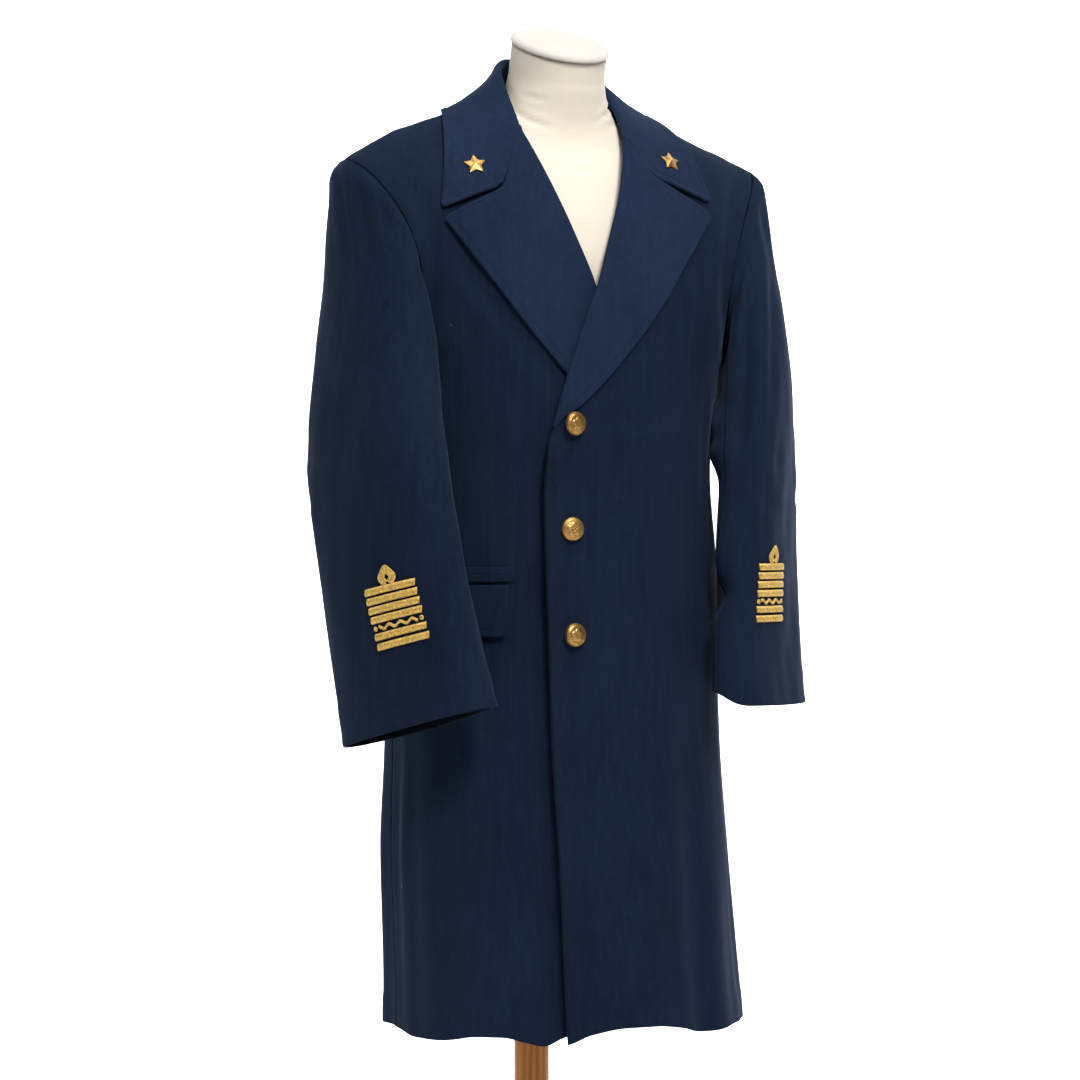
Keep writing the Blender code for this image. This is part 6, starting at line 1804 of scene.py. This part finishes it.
# wrinkles of the cover at the root of the neck: points x, z, strength; half width, depth
FORM_CREASES = (
    (((0.060, 1.462, 0.2), (0.050, 1.450, 0.9), (0.036, 1.441, 0.6), (0.020, 1.436, 0.0)), 0.0030, 0.0026),
    (((0.066, 1.440, 0.2), (0.054, 1.436, 0.8), (0.040, 1.430, 0.0)), 0.0032, 0.0020),
    (((-0.062, 1.452, 0.2), (-0.050, 1.440, 1.0), (-0.036, 1.432, 0.7), (-0.020, 1.428, 0.0)), 0.0034, 0.0028),
    (((-0.052, 1.468, 0.2), (-0.042, 1.462, 0.8), (-0.028, 1.458, 0.0)), 0.0028, 0.0018),
    (((-0.046, 1.388, 0.0), (-0.020, 1.3835, 0.8), (0.010, 1.3825, 0.9), (0.040, 1.386, 0.0)), 0.0036, 0.0008),
)


def form_torso():
    n = 144
    a = np.linspace(0, 2 * math.pi, n, endpoint=False)
    zs = np.concatenate([np.linspace(0.8000, 0.8300, 9), np.linspace(0.8500, 1.3000, 34), np.linspace(1.3075, 1.4675, 48), [1.4700]])
    row = rows(FORM, zs)
    s, c = np.sin(a), np.cos(a)
    e = (2.0 + 0.35 * (1 - ease(1.33, 1.45, zs)))[:, None]
    r = 1.0 / (np.abs(s) ** e + np.abs(c) ** e) ** (1.0 / e)
    half, fr, bk, mid = (row[:, i:i + 1] for i in range(4))
    p = np.stack([half * s * r, mid + np.where(c > 0, fr - mid, mid - bk) * c * r, np.broadcast_to(zs[:, None], r.shape)], -1)
    top = neck_ring(np.full(n, CAP_MID[1]), a)
    top[:, 2] = CAP_MID[1] - CAP_SLOPE * (top[:, 1] - CAP_MID[0])
    neck0 = p[-1]
    upper = []
    for k in np.linspace(0, 1, 15)[1:]:
        zz = 1.4700 + (top[:, 2] - 1.4700) * k
        q = neck_ring(zz, a)
        blend = float(ease(0.0, 0.45, k))
        q[:, :2] = neck0[:, :2] * (1 - blend) + q[:, :2] * blend
        upper.append(q)
    p = np.concatenate([p, np.array(upper)])
    # soften the flare from the neck to the shoulders
    sm = p.copy()
    for _ in range(3):
        sm[1:-1] = 0.5 * sm[1:-1] + 0.25 * (sm[:-2] + sm[2:])
    k = (ease(1.38, 1.41, p[..., 2]) * (1 - ease(1.486, 1.496, p[..., 2])))[..., None]
    p = p * (1 - k) + sm * k
    nrm = np.cross(np.roll(p, -1, axis=1) - np.roll(p, 1, axis=1), np.gradient(p, axis=0))
    nrm = unit(nrm)
    centre = np.array([0, 0.055, 0])
    if float(((p - centre) * np.array([1, 1, 0]) * nrm).sum()) < 0:
        nrm = -nrm
    h = np.zeros(p.shape[:-1])
    front_half = p[..., 1] > 0.06
    for pts, wide, deep in FORM_CREASES:
        q = smooth_line([(x, z) for x, z, _ in pts])
        line = []
        for x, z in q:
            d = np.hypot(p[..., 0] - x, p[..., 2] - z) + np.where(front_half, 0, 1.0)
            line.append(p.reshape(-1, 3)[int(np.argmin(d))])
        line = smooth_line(np.array(line)[::3], 16)
        h = h + crease(p, nrm, line, [kk for _, _, kk in pts], wide, deep, 0.2, 0.45)
    p = p + nrm * h[..., None]
    v = world(p.reshape(-1, 3), "left")
    m = len(p)
    f = []
    for i in range(m - 1):
        b = i * n
        f += [(b + j, b + (j + 1) % n, b + n + (j + 1) % n, b + n + j) for j in range(n)]
    v = [tuple(q) for q in v] + [(0.0, -0.040, 0.8000), (0.0, -CAP_MID[0], CAP_MID[1])]
    f += [(len(v) - 2, (j + 1) % n, j) for j in range(n)]
    b = (m - 1) * n
    f += [(len(v) - 1, b + j, b + (j + 1) % n) for j in range(n)]
    ob = poly_piece("form_body", v, f, JERSEY)
    bm = bmesh.new()
    bm.from_mesh(ob.data)
    bmesh.ops.recalc_face_normals(bm, faces=bm.faces)
    bm.to_mesh(ob.data)
    bm.free()
    return finish_piece(ob, ["form_torso"])


form_torso()

# cap on the neck: a low covered disc on the sloping cut, its cloth turned over the edge
TILT = math.atan(CAP_SLOPE)
LIFT = Matrix.Translation((0.0, -CAP_MID[0], CAP_MID[1])) @ Matrix.Rotation(TILT, 4, "X") @ Matrix.Translation((0, 0, SEAM_GAP))
LIFT = LIFT @ Matrix.Diagonal((NECK_A + 0.0010, (NECK_B + 0.0010) / math.cos(TILT), 1.0, 1.0))


def cap_height(r, a):
    x = np.clip(r, 0, 1)
    body = CAP_T * (0.30 + 0.70 * np.sqrt(np.clip(1 - ((x - 0.86) / 0.14).clip(0, 1) ** 2, 0, 1)))
    body = np.where(x < 0.86, CAP_T * (1 - 0.03 * x * x), body * (1 - 0.03 * 0.74))
    return body - 0.0004 * np.exp(-((x - 0.80) / 0.02) ** 2)


# the cap takes the darker copy of the jersey, which is painted shade
cap = polar("form_cap", [0.1, 0.25, 0.4, 0.55, 0.68, 0.75, 0.78, 0.80, 0.82, 0.85, 0.88, 0.91, 0.94, 0.96, 0.98, 0.99, 1.0], cap_height,
            [(1.0, CAP_T * 0.22), (0.985, CAP_T * 0.10), (0.96, 0.0)], CAP_JERSEY_SHADED, LIFT, 96)
finish_piece(cap, ["form_neck_cap"])

for NAME, WOOD in (("stand_post", TIMBER), ("stand_base", BOARD)):
    ob = frame["nodes"][NAME]
    for sl in ob.material_slots:
        sl.material = WOOD


# ------------------------------------------------------------------ floor, light and camera
def studio():
    """A pale floor that curves up into the backdrop."""
    prof = [(-7.0, 0.0), (2.2, 0.0)]
    for k in range(1, 13):
        t = k / 12 * math.pi / 2
        prof.append((2.2 + 1.6 * math.sin(t), 1.6 * (1 - math.cos(t))))
    prof.append((3.8, 7.0))
    c, s = math.cos(math.radians(25)), math.sin(math.radians(25))
    v, f = [], []
    for y, z in prof:
        for x in (-9.0, 9.0):
            v.append((x * c + y * s, -x * s + y * c, z))
    for i in range(len(prof) - 1):
        f.append((2 * i, 2 * i + 1, 2 * i + 3, 2 * i + 2))
    k = Nodes("studio_floor")
    tone = k.noise(0.8, 2.0, 0.5)
    colour = k.ramp(tone, (0.3, (0.93, 0.93, 0.93)), (0.7, (0.95, 0.95, 0.95)))
    m = k.set(Base_Color=colour, Roughness=0.9)
    ob = poly_piece("studio_floor", v, f, m)


studio()


def area_light(name, at, aim, size, power, colour=(1, 1, 1)):
    d = bpy.data.lights.new(name, "AREA")
    d.shape = "RECTANGLE"
    d.size, d.size_y = size
    d.energy = power
    d.color = colour
    ob = bpy.data.objects.new(name, d)
    SCENE.collection.objects.link(ob)
    ob.location = at
    ob.rotation_euler = (Vector(aim) - Vector(at)).to_track_quat("-Z", "Y").to_euler()
    return ob


area_light("key", (-0.35, -3.15, 3.7), (0, -0.1, 1.05), (0.8, 1.2), 158.0, (1.0, 0.985, 0.955))
area_light("top", (0.1, -0.9, 3.9), (0, -0.1, 1.2), (1.6, 1.1), 56.0)
area_light("backdrop_left", (-1.9, 1.2, 2.7), (-1.0, 3.5, 1.4), (1.6, 1.6), 210.0)
area_light("backdrop_right", (2.6, 0.6, 2.7), (2.4, 3.2, 1.4), (1.6, 1.6), 210.0)

world_ = bpy.data.worlds.new("studio")
SCENE.world = world_
world_.use_nodes = True
bg = world_.node_tree.nodes["Background"]
bg.inputs["Color"].default_value = (1.0, 1.0, 1.0, 1.0)
bg.inputs["Strength"].default_value = 0.15

SCENE.view_settings.view_transform = "Standard"
SCENE.view_settings.look = "None"
SCENE.view_settings.exposure = 0.0

VIEW = math.radians(25.0)
DISTANCE, CAM_Z, AIM_Z, SIDEWAYS = 4.2, 1.05, 0.974, 0.0096
cam_data = bpy.data.cameras.new("camera")
cam_data.lens = 123.9
cam_data.sensor_width = 36.0
cam_data.clip_end = 60.0
cam = bpy.data.objects.new("camera", cam_data)
SCENE.collection.objects.link(cam)
shift = Vector((math.cos(VIEW), -math.sin(VIEW), 0)) * SIDEWAYS
cam.location = Vector((-DISTANCE * math.sin(VIEW), -DISTANCE * math.cos(VIEW), CAM_Z)) + shift
aim = Vector((0, 0, AIM_Z)) + shift
cam.rotation_euler = (aim - cam.location).to_track_quat("-Z", "Y").to_euler()
SCENE.camera = cam
